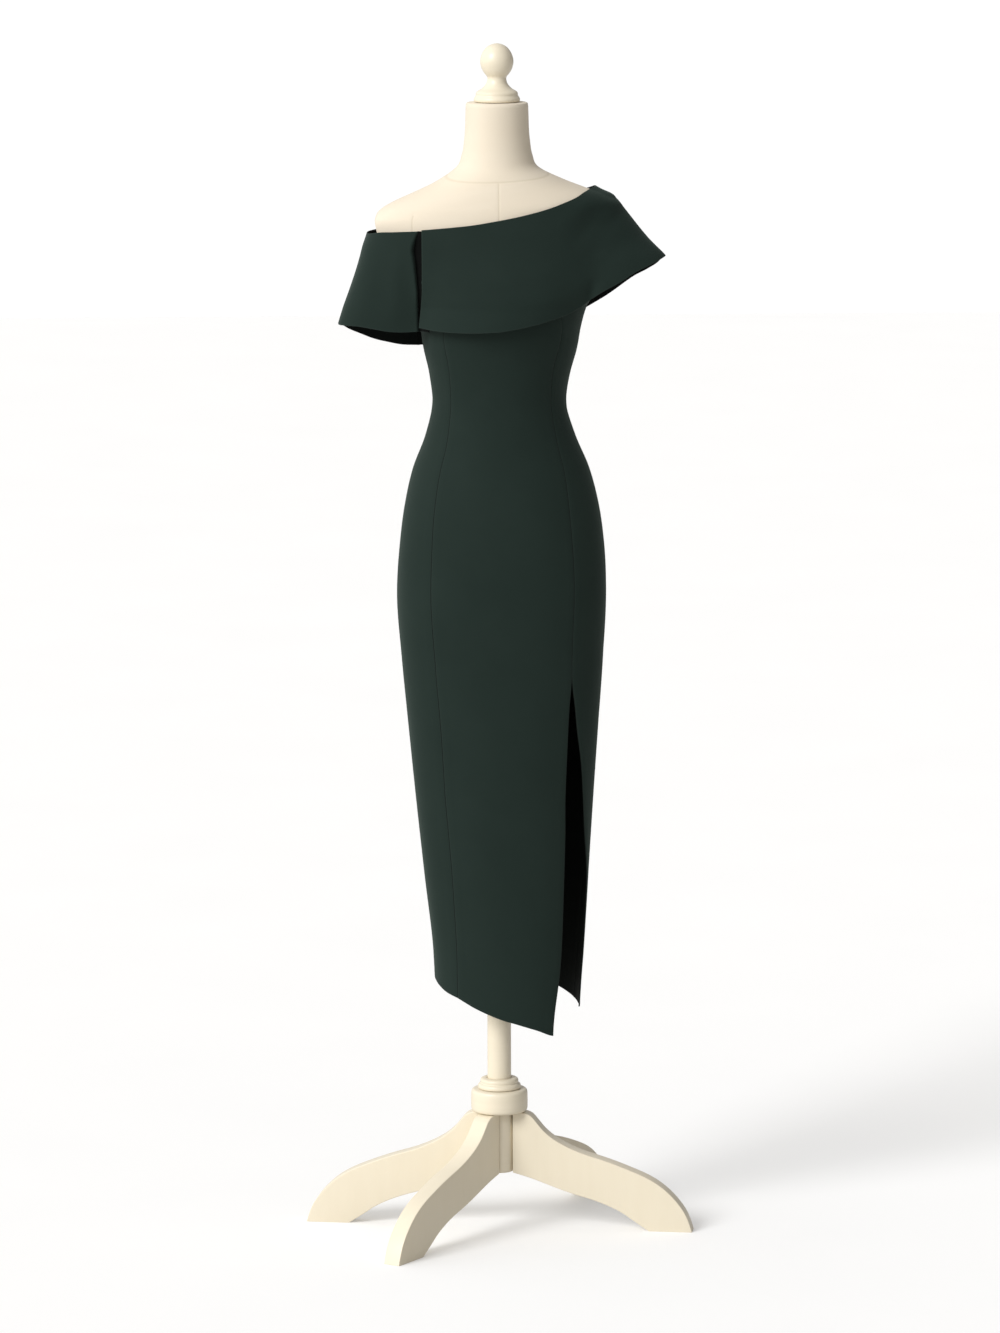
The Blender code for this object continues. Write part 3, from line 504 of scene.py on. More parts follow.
def quads_of(index):
    """The four corners of each cell of a grid of vertex numbers."""
    cells = np.stack([index[:-1, :-1], index[:-1, 1:], index[1:, 1:], index[1:, :-1]], axis=-1)
    return cells.reshape(-1, 4)


def make_mesh(name, points, faces, materials, face_slots=None, uv=None, attributes=None):
    """Put arrays of points, faces, UVs and point values into a mesh object at the origin."""
    mesh = bpy.data.meshes.new(name)
    mesh.from_pydata((points * MM).tolist(), [], faces if isinstance(faces, list) else faces.tolist())
    for material in materials:
        mesh.materials.append(material)
    if face_slots is not None:
        mesh.polygons.foreach_set("material_index", np.asarray(face_slots, np.int32))
    if uv is not None:
        corner = np.empty(len(mesh.loops), np.int32)
        mesh.loops.foreach_get("vertex_index", corner)
        layer = mesh.uv_layers.new(name="cloth")
        layer.data.foreach_set("uv", uv[corner].astype(np.float32).ravel())
    for key, values in (attributes or {}).items():
        store = mesh.attributes.new(key, "FLOAT", "POINT")
        store.data.foreach_set("value", np.asarray(values, np.float32))
    mesh.shade_smooth()
    mesh.update()
    piece = bpy.data.objects.new(name, mesh)
    bpy.context.scene.collection.objects.link(piece)
    return piece


def in_place_of(node, piece):
    """Let a piece ride on the dress and form in place of its CAD node."""
    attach(piece, BODY)
    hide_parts(node)


def sewn_cloth(name, node, middle, thickness, seams, rests_on, fold_shadowed=0.0):
    """A piece of cloth on a grid, both faces and rounded edges, from its middle surface.

    The half thickness falls as a quarter circle to nothing at each edge. Along the sides named
    in seams the cloth dips into the seam as a bell and stands up a little over its turnings. The
    points also keep a mask for the tuck's painted shadow.
    """
    down = lengths_along(middle, 0)
    over = lengths_along(middle, 1)
    sides = {"start": over, "end": over[:, -1:] - over, "hem": down, "top": down[-1:] - down}
    relief = np.zeros(middle.shape[:2])
    for side, distance in sides.items():
        reach, height = (TURNING, TURNING_STEP) if side in seams else (HEM_TURNING, HEM_STEP)
        relief += height * (1 - step_between(reach - STEP_SLOPE, reach + STEP_SLOPE, distance))
        if side in seams:
            relief -= SEAM_DIP * np.exp(-(distance / SEAM_DIP_REACH) ** 2)
    middle = middle + relief[..., None] * grid_normals(middle)
    edge = np.minimum.reduce(list(sides.values()))
    rim = thickness / 2
    half = rim * np.sqrt(1 - (1 - np.clip(edge / rim, 0, 1)) ** 2)
    normal = grid_normals(middle)
    outer = middle + half[..., None] * normal
    inner = middle - half[..., None] * normal
    rows, columns = edge.shape
    face_index = np.arange(rows * columns).reshape(rows, columns)
    lining_index = face_index.copy()
    inside = (rows - 2) * (columns - 2)
    lining_index[1:-1, 1:-1] = rows * columns + np.arange(inside).reshape(rows - 2, columns - 2)
    face = quads_of(face_index)
    lining = quads_of(lining_index)[:, ::-1]

    def both(grid):
        flat = grid.reshape((-1,) + grid.shape[2:])
        core = grid[1:-1, 1:-1].reshape((-1,) + grid.shape[2:])
        return np.concatenate([flat, core])

    points = np.concatenate([outer.reshape(-1, 3), inner[1:-1, 1:-1].reshape(-1, 3)])
    uv = np.stack([over - over[:, -1:] / 2, down], axis=-1) * MM
    near_seam = np.minimum.reduce([sides[s] for s in seams] + [np.full_like(edge, FAR_FROM_SEAM)])
    # Inner faces take the wrong side's material, painted near black as painted shade
    piece = make_mesh(name, points, np.concatenate([face, lining]), (CREPE, CREPE_INSIDE_PAINTED_SHADE),
                      np.repeat((0, 1), (len(face), len(lining))), both(uv),
                      {"from_edge": both(edge), "from_seam": both(near_seam),
                       "painted_tuck_shadow": both(fold_shadowed + 0 * edge)})
    corner = middle[1:, 1:] - middle[:-1, :-1]
    other = middle[1:, :-1] - middle[:-1, 1:]
    area = np.linalg.norm(np.cross(corner, other), axis=-1).sum() / 2 * MM ** 2
    cut = (round(over[:, -1].max() * MM, 3), round(down[-1].max() * MM, 3))
    area = round(min(area, cut[0] * cut[1]), 4)
    in_place_of(node, piece)
    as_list(rests_on)


def seam_angle(name, z):
    """Angle round the figure of a front or back seam at a height."""
    share = column(SEAMS, name, z)
    turn = np.degrees(np.arcsin(np.abs(share) ** (figure("fullness", z) / 2)))
    return np.sign(share) * turn


def dress_panel(name, node, start, end, columns):
    """One panel of the dress: the figure's section between two seams, from hem to top edge.

    A point's height is a share of the way from the hem's line to the top edge's line at its
    angle, and its angle a share of the way between the two seams' lines at its height.
    """
    def place(share, up):
        z = DRESS_MIDDLE[0] + DRESS_MIDDLE[1] * up + 0 * share
        for _ in range(HEM_PASSES):
            angle = start(z) + (end(z) - start(z)) * share
            hem = edge_curve(HEM, angle)
            z = hem + (edge_curve(BODICE_TOP, angle) - hem) * up
        return angle, z

    def surface(share, up):
        angle, z = place(share, up)
        return figure_point(angle, z, DRESS_OUT - CLOTH / 2)

    middle, share, up = cloth_grid(surface, DRESS_LENGTH, DRESS_ROWS, columns, DRESS_SAMPLES)
    angle, z = place(share, up)
    relief = fold_relief(angle * MM_PER_DEGREE, z, DRESS_FOLDS)
    relief *= FOLDS_OFF_FORM + (1 - FOLDS_OFF_FORM) * step_between(0, FORM_EDGE_BLEND, z - FORM_BOTTOM)
    middle = middle + np.maximum(relief, -DRESS_DENT_MOST)[..., None] * grid_normals(middle)
    sewn_cloth(name, node, middle, CLOTH, ("start", "end"), ["form_cover"])


def dress():
    """The seven panels of the dress, each between two seams' lines, from the centre back round."""
    def seam(key, turn=0, side=1):
        return lambda z: turn + side * seam_angle(key, z)

    def centre_back(side):
        return lambda z: 0 * z + 180 * side

    def right_side(z):
        return 0 * z - 90

    def left_side(z):
        return edge_curve(LEFT_SIDE_SEAM, z)

    back_right, back_left = seam("back", -180), seam("back", 180, -1)
    front_right = seam("front_right")
    dress_panel("back_panel_right", "back_centre_right", centre_back(-1), back_right, BACK_LINES)
    dress_panel("back_side_panel_right", "back_side_right", back_right, right_side, BACK_LINES)
    dress_panel("front_side_panel_right", "front_side_right", right_side, front_right, SIDE_LINES)
    dress_panel("front_panel", "front_centre", front_right, seam("slit_front"), FRONT_LINES)
    dress_panel("front_side_panel_left", "front_side_left", seam("slit_back"), left_side, SIDE_LINES)
    dress_panel("back_side_panel_left", "back_side_left", left_side, back_left, BACK_LINES)
    dress_panel("back_panel_left", "back_centre_left", back_left, centre_back(1), BACK_LINES)


def between_edges(neck, hem, share, up):
    """Height a share of the way up from the hem's line to the neck edge's line."""
    return edge_curve(hem, share) * (1 - up) + edge_curve(neck, share) * up


def pressed(surface, folds, lifted=0.0):
    """The band's middle surface: half its thickness in from its outer one, with soft folds.

    Lifted raises the lower edge out of the dress, falling off smoothly above it.
    """
    def inner(share, up):
        return surface(share, up) - BAND_CLOTH / 2 * grid_normals(surface(share, up))

    middle, share, up = cloth_grid(inner, BAND_LENGTH, BAND_ROWS, BAND_LINES, BAND_SAMPLES)
    x, y, z = middle[..., 0], middle[..., 1], middle[..., 2]
    relief = np.where(y > 0, fold_relief(x, z, BACK_FOLDS), fold_relief(x, z, folds))
    relief = np.maximum(relief, -BAND_DENT_MOST)
    above = lengths_along(middle, 0)
    calm = step_between(0, RIDGE_CALM, np.abs(y))
    relief = relief * calm + lifted * (1 - step_between(0, HEM_LIFT_REACH, above)) * calm
    return middle + relief[..., None] * grid_normals(middle)


def band_front_surface(share, up):
    """Front of the band: the right part runs straight out, the left fans to the sleeve's ridge."""
    along = share * (1 + RIGHT_PART) - RIGHT_PART
    out = np.where(along < 0, -along / RIGHT_PART, np.sin(np.clip(along, 0, 1) * math.pi / 2))
    z_right = between_edges(NECK_FRONT_RIGHT, HEM_FRONT_RIGHT, out, up)
    z_left = between_edges(NECK_FRONT_LEFT, HEM_FRONT_LEFT, out, up)
    z = np.where(along < 0, z_right, z_left)
    reach = np.where(along < 0, -BAND_FRONT_EDGE, column(BAND, "left_reach", z))
    return band_point(reach * out, z, False)


def band_back_left_surface(share, up):
    """Left back of the band, from the sleeve's ridge in to the centre back."""
    out = np.sin((1 - share) * math.pi / 2)
    z = between_edges(NECK_BACK_LEFT, HEM_BACK_LEFT, out, up)
    return band_point(column(BAND, "left_reach", z) * out, z, True)


def band_back_right_surface(share, up):
    """Right back of the band, from the centre back out to the sleeve's seam."""
    z = between_edges(NECK_BACK_RIGHT, HEM_BACK_RIGHT, share, up)
    return band_point(-BAND_BACK_EDGE * share, z, True)


def sleeve_surface(share, up):
    """Right sleeve: from the back seam round the ridge to the crest, down the tuck, and behind.

    Each stretch is a share of the piece. The ridge's two sides follow a sine, the tuck sinks
    by a smooth step, and behind the band's front edge the cloth runs on at the tuck's depth.
    """
    back_share = np.clip(share / SLEEVE_PARTS[0], 0, 1)
    front_share = np.clip((share - SLEEVE_PARTS[0]) / (SLEEVE_PARTS[1] - SLEEVE_PARTS[0]), 0, 1)
    into = np.clip((share - SLEEVE_PARTS[1]) / (1 - SLEEVE_PARTS[1]), 0, 1)
    out = np.sin(back_share * math.pi / 2)
    z = between_edges(NECK_SLEEVE_BACK, HEM_SLEEVE_BACK, out, up)
    reach = column(BAND, "right_reach", z)
    back = band_point(-(BAND_BACK_EDGE + (reach - BAND_BACK_EDGE) * out), z, True)
    out = np.cos(front_share * math.pi / 2)
    z = between_edges(NECK_SLEEVE_FRONT, HEM_SLEEVE_FRONT, out, up)
    reach = column(BAND, "right_reach", z)
    width = column(TUCK, "width", z)
    crest = VALLEY_EDGE + width
    x = crest + (reach - crest) * out - (crest - TUCK_END) * into
    front = band_point(-x, z, False)
    sunk = step_between(0, 1, (crest - x) / (width * TUCK_STEEP))
    front[..., 1] += column(TUCK, "depth", z) * sunk * (x < crest)
    return np.where((share < SLEEVE_PARTS[0])[..., None], back, front)


def band():
    """The band: one front, two backs and the right sleeve, in the doubled crepe.

    Pieces that meet share their edge's points, and the ridge and the centre back lie in a plane.
    """
    front = pressed(band_front_surface, FRONT_FOLDS, HEM_LIFT)
    back_left = pressed(band_back_left_surface, FRONT_FOLDS)
    back_right = pressed(band_back_right_surface, FRONT_FOLDS)
    sleeve = pressed(sleeve_surface, SLEEVE_FOLDS)
    front[:, -1, 1] = 0
    back_left[:, 0] = front[:, -1]
    back_left[:, -1, 0] = 0
    back_right[:, 0] = back_left[:, -1]
    sleeve[:, 0] = back_right[:, -1]
    # Painted shadow: a mask that darkens the tuck's floor past the crest, where the crest shades it
    width = column(TUCK, "width", sleeve[..., 2])
    past_crest = VALLEY_EDGE + width - np.abs(sleeve[..., 0])
    tuck_shadow_mask = step_between(0, TUCK_SHADE_STEEP * width, past_crest) * (sleeve[..., 1] < 0)
    on_bodice = ["form_cover", "front_panel", "front_side_panel_left"]
    on_back = ["form_cover", "back_panel_left", "back_panel_right"]
    on_side = ["form_cover", "front_side_panel_right"]
    for name, node, middle, seams, rests_on, fold_shadowed in (
            ("band_front", "overlay_front", front, ("end",), on_bodice, 0.0),
            ("band_back_left", "overlay_back_left", back_left, ("start", "end"), on_back, 0.0),
            ("band_back_right", "overlay_back_right", back_right, ("start", "end"), on_back, 0.0),
            ("sleeve_cloth_right", "sleeve_right", sleeve, ("start",), on_side, tuck_shadow_mask)):
        sewn_cloth(name, node, middle, BAND_CLOTH, seams, rests_on, fold_shadowed)


def form_cover():
    """The form: the figure's sections, with grooves as bells along the cover's seams.

    Its columns run between eight seams and close up near each. Above the princess seams' bend
    they keep one distance from the centre line. A ring of rows follows the neck seam.
    """
    level = np.concatenate([np.arange(*rows) for rows in COVER_ROWS])[:, None]
    cell = np.concatenate([COVER_LINES, COVER_BETWEEN, 1 - COVER_LINES[:0:-1]])
    place = (np.arange(COVER_SEAMS)[:, None] + cell).ravel()[None, :]
    share = COVER_SEAM / figure("half_width", level)
    share = np.minimum(share, np.where(level > PRINCESS_BENDS, COVER_SEAM_WIDEST, COVER_SEAM_SHARE))
    princess = np.degrees(np.arcsin(share ** (figure("fullness", level) / 2)))
    none = 0 * princess
    stops = np.concatenate([none - 180, princess - 180, none - 90, -princess, none, princess,
                            none + 90, 180 - princess, none + 180], axis=1)
    left = np.floor(place).astype(int)
    between = place - left
    angle = stops[:, left[0]] * (1 - between) + stops[:, left[0] + 1] * between
    ring = np.exp(-((level - NECK_SEAM) / NECK_SEAM_SPREAD) ** 2)
    z = level - NECK_SEAM_DROP * np.cos(np.radians(angle)) * ring
    points = figure_point(angle, z)
    wrapped = np.concatenate([points, points[:, :1]], axis=1)
    run = lengths_along(wrapped, 1)
    start_at = run[:, np.arange(COVER_SEAMS + 1) * len(cell)]
    nearest = np.minimum(run[:, :-1] - start_at[:, left[0]], start_at[:, left[0] + 1] - run[:, :-1])
    seam_number = np.round(place).astype(int) % COVER_SEAMS
    fades = np.maximum(np.isin(seam_number, PRINCESS_SEAMS) * step_between(*PRINCESS_FADES, level),
                       (seam_number == FRONT_SEAM) * step_between(*FRONT_SEAM_FADES, level))
    ring_distance = np.abs(level - NECK_SEAM)
    dip = np.maximum(np.exp(-(nearest / COVER_DIP_REACH) ** 2) * (1 - fades),
                     np.exp(-(ring_distance / COVER_DIP_REACH) ** 2))
    points = points - COVER_DIP * dip[..., None] * grid_normals(wrapped)[:, :-1]

    top, base = points[-1], points[0]
    rim = [top * [size, size, 0] + [0, 0, NECK_TOP - NECK_EDGE_DROP * (1 - rise)]
           for size, rise in NECK_RIM]
    foot = [base * [size, size, 0] + [0, 0, FORM_BOTTOM + rise] for size, rise in FORM_FOOT]
    bore_turn = np.arctan2(base[:, 0], -base[:, 1])
    bore = np.stack([POLE_BORE * np.sin(bore_turn), -POLE_BORE * np.cos(bore_turn), 0 * bore_turn],
                    axis=-1)
    below = [bore + [0, 0, POLE_TOP], bore + [0, 0, FORM_BOTTOM]] + foot
    rings = np.stack(below + list(points) + rim)
    rows, columns = rings.shape[:2]
    index = np.arange(rows * columns).reshape(rows, columns)
    faces = quads_of(np.concatenate([index, index[:, :1]], axis=1)).tolist()
    faces += [index[-1].tolist(), index[0, ::-1].tolist()]
    seam_value = np.full((rows, columns), FAR_FROM_SEAM)
    seam_value[len(below):-len(rim)] = np.minimum(nearest + FAR_FROM_SEAM * fades, ring_distance)
    around = np.concatenate([run[:1, :-1]] * len(below) + [run[:, :-1]] + [run[-1:, :-1]] * len(rim))
    uv = np.stack([around, rings[..., 2]], axis=-1) * MM
    piece = make_mesh("form_cover", rings.reshape(-1, 3), faces, (COTTON,), None,
                      uv.reshape(-1, 2), {"from_seam": seam_value.ravel()})
    in_place_of("form_body", piece)


def rounded(profile, rounds):
    """An outline with its corners cut off again and again, so that they turn smoothly."""
    line = np.asarray(profile, float)
    for _ in range(rounds):
        first = line[:-1] * (1 - CORNER_TIE) + line[1:] * CORNER_TIE
        second = line[:-1] * CORNER_TIE + line[1:] * (1 - CORNER_TIE)
        cut = np.stack([first, second], axis=1).reshape(-1, 2)[1:-1]
        line = np.concatenate([line[:1], cut, line[-1:]])
    return line


def turned(name, node, profile, rounds):
    """A turned piece: its outline of radius and height carried round the axis.

    An outline that starts on the axis closes in fans there, and one round a bore closes on itself.
    """
    line = rounded(profile[::-1], rounds)
    turn = np.linspace(-math.pi, math.pi, TURNED_STEPS, endpoint=False)[None, :]
    radius, height = line[:, :1], line[:, 1:]
    rings = np.stack([radius * np.sin(turn), -radius * np.cos(turn), height + 0 * turn], axis=-1)
    solid = line[0, 0] == 0
    rings = rings[1:-1] if solid else rings
    rows = len(rings)
    index = np.arange(rows * TURNED_STEPS).reshape(rows, TURNED_STEPS)
    index = np.concatenate([index, index[:, :1]], axis=1)
    points = rings.reshape(-1, 3)
    faces = quads_of(index)
    if solid:
        low, high = rows * TURNED_STEPS, rows * TURNED_STEPS + 1
        points = np.concatenate([points, [[0, 0, line[0, 1]], [0, 0, line[-1, 1]]]])
        under = np.stack([index[0, 1:], index[0, :-1], 0 * index[0, 1:] + low], axis=-1)
        over = np.stack([index[-1, :-1], index[-1, 1:], 0 * index[-1, 1:] + high], axis=-1)
        faces = faces.tolist() + under.tolist() + over.tolist()
    else:
        faces = np.concatenate([faces, quads_of(np.stack([index[-1], index[0]]))])
    in_place_of(node, make_mesh(name, points, faces, (PAINT_TURNED,)))


def legs():
    """Four scroll-sawn feet: a rounded plank section carried between the top and under curves.

    At each share of the curves' length the section spans from one curve to the other, as a
    rectangle whose corners are quarter circles.
    """
    def read(curve):
        line = rounded(curve, LEG_ROUNDS)
        run = np.concatenate([[0], np.cumsum(np.linalg.norm(np.diff(line, axis=0), axis=1))])
        return np.stack([np.interp(LEG_PLACES * run[-1], run, line[:, k]) for k in (0, 1)], axis=-1)

    top, under = read(LEG_TOP), read(LEG_UNDER)
    corner = np.radians(np.linspace(0, 90, LEG_CORNER_POINTS))
    quarter = np.stack([np.cos(corner), np.sin(corner)], axis=-1)
    signs = np.array(((1, 1), (-1, 1), (-1, -1), (1, -1)), float)
    arcs = np.concatenate([quarter[::1 if k % 2 == 0 else -1] * s for k, s in enumerate(signs)])
    centres = np.repeat(signs, LEG_CORNER_POINTS, axis=0)
    span = np.linalg.norm(top - under, axis=-1)[:, None]
    side = centres[:, 0] * (LEG_THICKNESS / 2 - LEG_EDGE) + arcs[:, 0] * LEG_EDGE + 0 * span
    rise = centres[:, 1] * (span / 2 - LEG_EDGE) + arcs[:, 1] * LEG_EDGE
    plane = ((top + under) / 2)[:, None] + rise[..., None] * ((top - under) / span)[:, None]
    out, tall = plane[..., 0], np.maximum(plane[..., 1], 0.0)
    index = np.arange(side.size).reshape(side.shape)
    faces = quads_of(np.concatenate([index, index[:, :1]], axis=1))[:, ::-1].tolist()
    faces += [index[0].tolist(), index[-1, ::-1].tolist()]
    uv = np.stack([side, out], axis=-1).reshape(-1, 2) * MM
    for node, angle in LEG_ANGLES.items():
        a = math.radians(angle)
        points = np.stack([out * math.cos(a) - side * math.sin(a),
                           out * math.sin(a) + side * math.cos(a), tall], axis=-1)
        foot = make_mesh(node.replace("leg", "foot"), points.reshape(-1, 3), faces, (PAINT_SAWN,),
                         None, uv)
        in_place_of(node, foot)


def new_group(name, inputs, outputs):
    """A shader node group with named sockets, and a function that adds and joins its nodes."""
    tree = bpy.data.node_groups.new(name, "ShaderNodeTree")
    for label, kind, value in inputs:
        socket = tree.interface.new_socket(label, in_out="INPUT", socket_type="NodeSocket" + kind)
        if value is not None:
            socket.default_value = value
    for label, kind in outputs:
        tree.interface.new_socket(label, in_out="OUTPUT", socket_type="NodeSocket" + kind)
    return tree, tree.nodes.new("NodeGroupInput"), tree.nodes.new("NodeGroupOutput")


def add(tree, kind, values=None, links=None, **settings):
    """Add a node, set its properties and constant sockets, and join sockets that feed it."""
    node = tree.nodes.new("ShaderNode" + kind)
    for key, value in settings.items():
        setattr(node, key, value)
    for key, value in (values or {}).items():
        node.inputs[key].default_value = value
    for key, source in (links or {}).items():
        tree.links.new(source, node.inputs[key])
    return node


def blend_colour(tree, factor, first, second):
    """A mix of two colours by a factor; each is a constant or a socket."""
    node = tree.nodes.new("ShaderNodeMix")
    node.data_type = "RGBA"
    tree.links.new(factor, node.inputs[0])
    for socket, value in ((node.inputs[6], first), (node.inputs[7], second)):
        if isinstance(value, tuple):
            socket.default_value = (*value, 1.0)
        else:
            tree.links.new(value, socket)
    return node.outputs[2]


def noise(tree, vector, scale, detail, roughness):
    """Noise along a vector at a scale that a socket gives."""
    return add(tree, "TexNoise", {"Detail": detail, "Roughness": roughness},
               {"Vector": vector, "Scale": scale}).outputs["Fac"]


def times(tree, first, factor, plus=None):
    """A value times a factor, and plus another value where one is given."""
    if plus is None:
        return add(tree, "Math", {1: factor}, {0: first}, operation="MULTIPLY").outputs[0]
    return add(tree, "Math", {1: factor}, {0: first, 2: plus}, operation="MULTIPLY_ADD").outputs[0]


def weave_group():
    """Close weave: two crossed sine ribs and a fine pebble, as a height, and a slow mottle."""
    tree, given, made = new_group(
        "close_weave",
        (("Vector", "Vector", None), ("Threads", "Float", 1400.0), ("Pebble", "Float", 900.0),
         ("Mottle", "Float", 9.0)),
        (("Height", "Float"), ("Tone", "Float")))
    vector = given.outputs["Vector"]
    scaled = add(tree, "VectorMath", None, {0: vector, "Scale": given.outputs["Threads"]},
                 operation="SCALE")
    parts = add(tree, "SeparateXYZ", None, {0: scaled.outputs[0]})
    warp = add(tree, "Math", None, {0: parts.outputs["X"]}, operation="SINE")
    weft = add(tree, "Math", None, {0: parts.outputs["Y"]}, operation="SINE")
    ribs = add(tree, "Math", None, {0: warp.outputs[0], 1: weft.outputs[0]}, operation="MULTIPLY")
    pebble = noise(tree, vector, given.outputs["Pebble"], detail=2.0, roughness=0.6)
    mottle = noise(tree, vector, given.outputs["Mottle"], detail=3.0, roughness=0.55)
    tree.links.new(times(tree, ribs.outputs[0], factor=0.35, plus=pebble), made.inputs["Height"])
    tree.links.new(times(tree, pebble, factor=0.25, plus=mottle), made.inputs["Tone"])
    return tree


def edge_group():
    """Near an edge or a seam: 1 on it, falling smoothly to 0 at the reach."""
    tree, given, made = new_group("near_edge", (("Distance", "Float", 0.0), ("Reach", "Float", 2.0)),
                                  (("Mask", "Float"),))
    span = add(tree, "MapRange", {"From Min": 0.0, "To Min": 1.0, "To Max": 0.0},
               {"Value": given.outputs["Distance"], "From Max": given.outputs["Reach"]},
               interpolation_type="SMOOTHSTEP")
    tree.links.new(span.outputs["Result"], made.inputs["Mask"])
    return tree


def paint_group():
    """Brushed paint: long fine strokes as a height, and the strokes with a slow stain as a tone."""
    tree, given, made = new_group(
        "brushed_paint",
        (("Vector", "Vector", None), ("Strokes", "Float", 420.0), ("Stain", "Float", 14.0)),
        (("Height", "Float"), ("Tone", "Float")))
    strokes = noise(tree, given.outputs["Vector"], given.outputs["Strokes"], detail=2.0, roughness=0.5)
    stain = noise(tree, given.outputs["Vector"], given.outputs["Stain"], detail=4.0, roughness=0.6)
    tree.links.new(strokes, made.inputs["Height"])
    tree.links.new(times(tree, strokes, factor=0.3, plus=stain), made.inputs["Tone"])
    return tree


def new_material(name, own):
    """A Principled material, with the values that are the same all over it on its own sockets."""
    material = bpy.data.materials.new(name)
    material.use_nodes = True
    shader = material.node_tree.nodes["Principled BSDF"]
    for key, value in own.items():
        shader.inputs[key].default_value = value
    return material, material.node_tree, shader


def toned(tree, made, first, second, low, high):
    """Two colours mixed by a group's tone, as it runs between two values."""
    tone = add(tree, "MapRange", {"From Min": low, "From Max": high}, {"Value": made.outputs["Tone"]})
    return blend_colour(tree, tone.outputs["Result"], first, second)


def shaded_near(tree, line, base, colour, reach, share):
    """A colour blended over another near an edge or a seam, by a share of the mask there."""
    distance = add(tree, "Attribute", attribute_name=line)
    near = add(tree, "Group", {"Reach": reach}, {"Distance": distance.outputs["Fac"]},
               node_tree=NEAR_EDGE)
    return blend_colour(tree, times(tree, near.outputs["Mask"], share), base, colour)


def finish(tree, shader, made, colour, roughness, strength, depth):
    """Join a colour, a roughness between two values by the tone, and a bump from the height."""
    tree.links.new(colour, shader.inputs["Base Color"])
    rough = add(tree, "MapRange", {"To Min": roughness[0], "To Max": roughness[1]},
                {"Value": made.outputs["Tone"]})
    tree.links.new(rough.outputs["Result"], shader.inputs["Roughness"])
    bump = add(tree, "Bump", {"Strength": strength, "Distance": depth},
               {"Height": made.outputs["Height"]})
    tree.links.new(bump.outputs["Normal"], shader.inputs["Normal"])


def crepe(name, light, dark, pressed_and_highlight_colour, sheen):
    """Matt stretch crepe: weave bump on the cloth's own UV, mottle, and paler pressed edges, partly a
    painted highlight.

    Seams and the tuck's depth are darker, painted shade where light doesn't reach.
    """
    material, tree, shader = new_material(name, {
        "Roughness": 0.78, "Specular IOR Level": 0.12,
        "Sheen Weight": sheen, "Sheen Roughness": 0.45, "Sheen Tint": SHEEN_GREEN})
    uv = add(tree, "UVMap", uv_map="cloth")
    weave = add(tree, "Group", {"Threads": 9000.0, "Pebble": 1500.0, "Mottle": 7.0},
                {"Vector": uv.outputs["UV"]}, node_tree=WEAVE)
    base = toned(tree, weave, light, dark, low=0.35, high=0.85)
    # Paler near the edges: partly pressed cloth, partly a painted highlight
    edged = shaded_near(tree, "from_edge", base, pressed_and_highlight_colour, reach=2.4, share=0.55)
    # Painted shade in the seams' dips
    seam_shaded = shaded_near(tree, "from_seam", edged, INSIDE_AND_PAINTED_SHADE_GREEN, reach=1.5, share=0.75)
    # Painted shadow: near black in the sleeve's tuck, by its mask
    fold = add(tree, "Attribute", attribute_name="painted_tuck_shadow")
    fold_shadowed = blend_colour(tree, fold.outputs["Fac"], seam_shaded, FOLD_SHADOW)
    finish(tree, shader, weave, fold_shadowed, roughness=(0.72, 0.86), strength=0.35, depth=0.00012)
    return material


def cotton():
    """Cream close-woven cotton over the form, with painted shade in its seams' grooves."""
    material, tree, shader = new_material("cream_cotton", {
        "Roughness": 0.82, "Specular IOR Level": 0.25, "Sheen Weight": 0.12, "Sheen Roughness": 0.5})
    uv = add(tree, "UVMap", uv_map="cloth")
    weave = add(tree, "Group", {"Threads": 6500.0, "Pebble": 900.0, "Mottle": 6.0},
                {"Vector": uv.outputs["UV"]}, node_tree=WEAVE)
    base = toned(tree, weave, COTTON_CREAM, COTTON_SHADE, low=0.4, high=0.9)
    # Painted shade in the seam grooves
    seam_shaded = shaded_near(tree, "from_seam", base, COTTON_SEAM_PAINTED_SHADE, reach=2.0, share=0.48)
    finish(tree, shader, weave, seam_shaded, roughness=(0.76, 0.9), strength=0.4, depth=0.0002)
    return material


def paint(name, stretch):
    """Cream satin paint on beech: strokes along the work, an uneven coat and worn warm edges."""
    material, tree, shader = new_material(name, {
        "Roughness": 0.38, "Specular IOR Level": 0.45, "Coat Weight": 0.18, "Coat Roughness": 0.22})
    place = add(tree, "TexCoord")
    lay = add(tree, "Mapping", {"Scale": stretch}, {"Vector": place.outputs["Object"]})
    coat = add(tree, "Group", {"Strokes": 260.0, "Stain": 11.0}, {"Vector": lay.outputs["Vector"]},
               node_tree=BRUSHED)
    base = toned(tree, coat, PAINT_CREAM, PAINT_SHADE, low=0.45, high=0.85)
    curve = add(tree, "NewGeometry")
    worn = add(tree, "MapRange", {"From Min": 0.53, "From Max": 0.64, "To Max": 0.4},
               {"Value": curve.outputs["Pointiness"]})
    final = blend_colour(tree, worn.outputs["Result"], base, WORN_WOOD)
    finish(tree, shader, coat, final, roughness=(0.3, 0.48), strength=0.25, depth=0.0002)
    return material


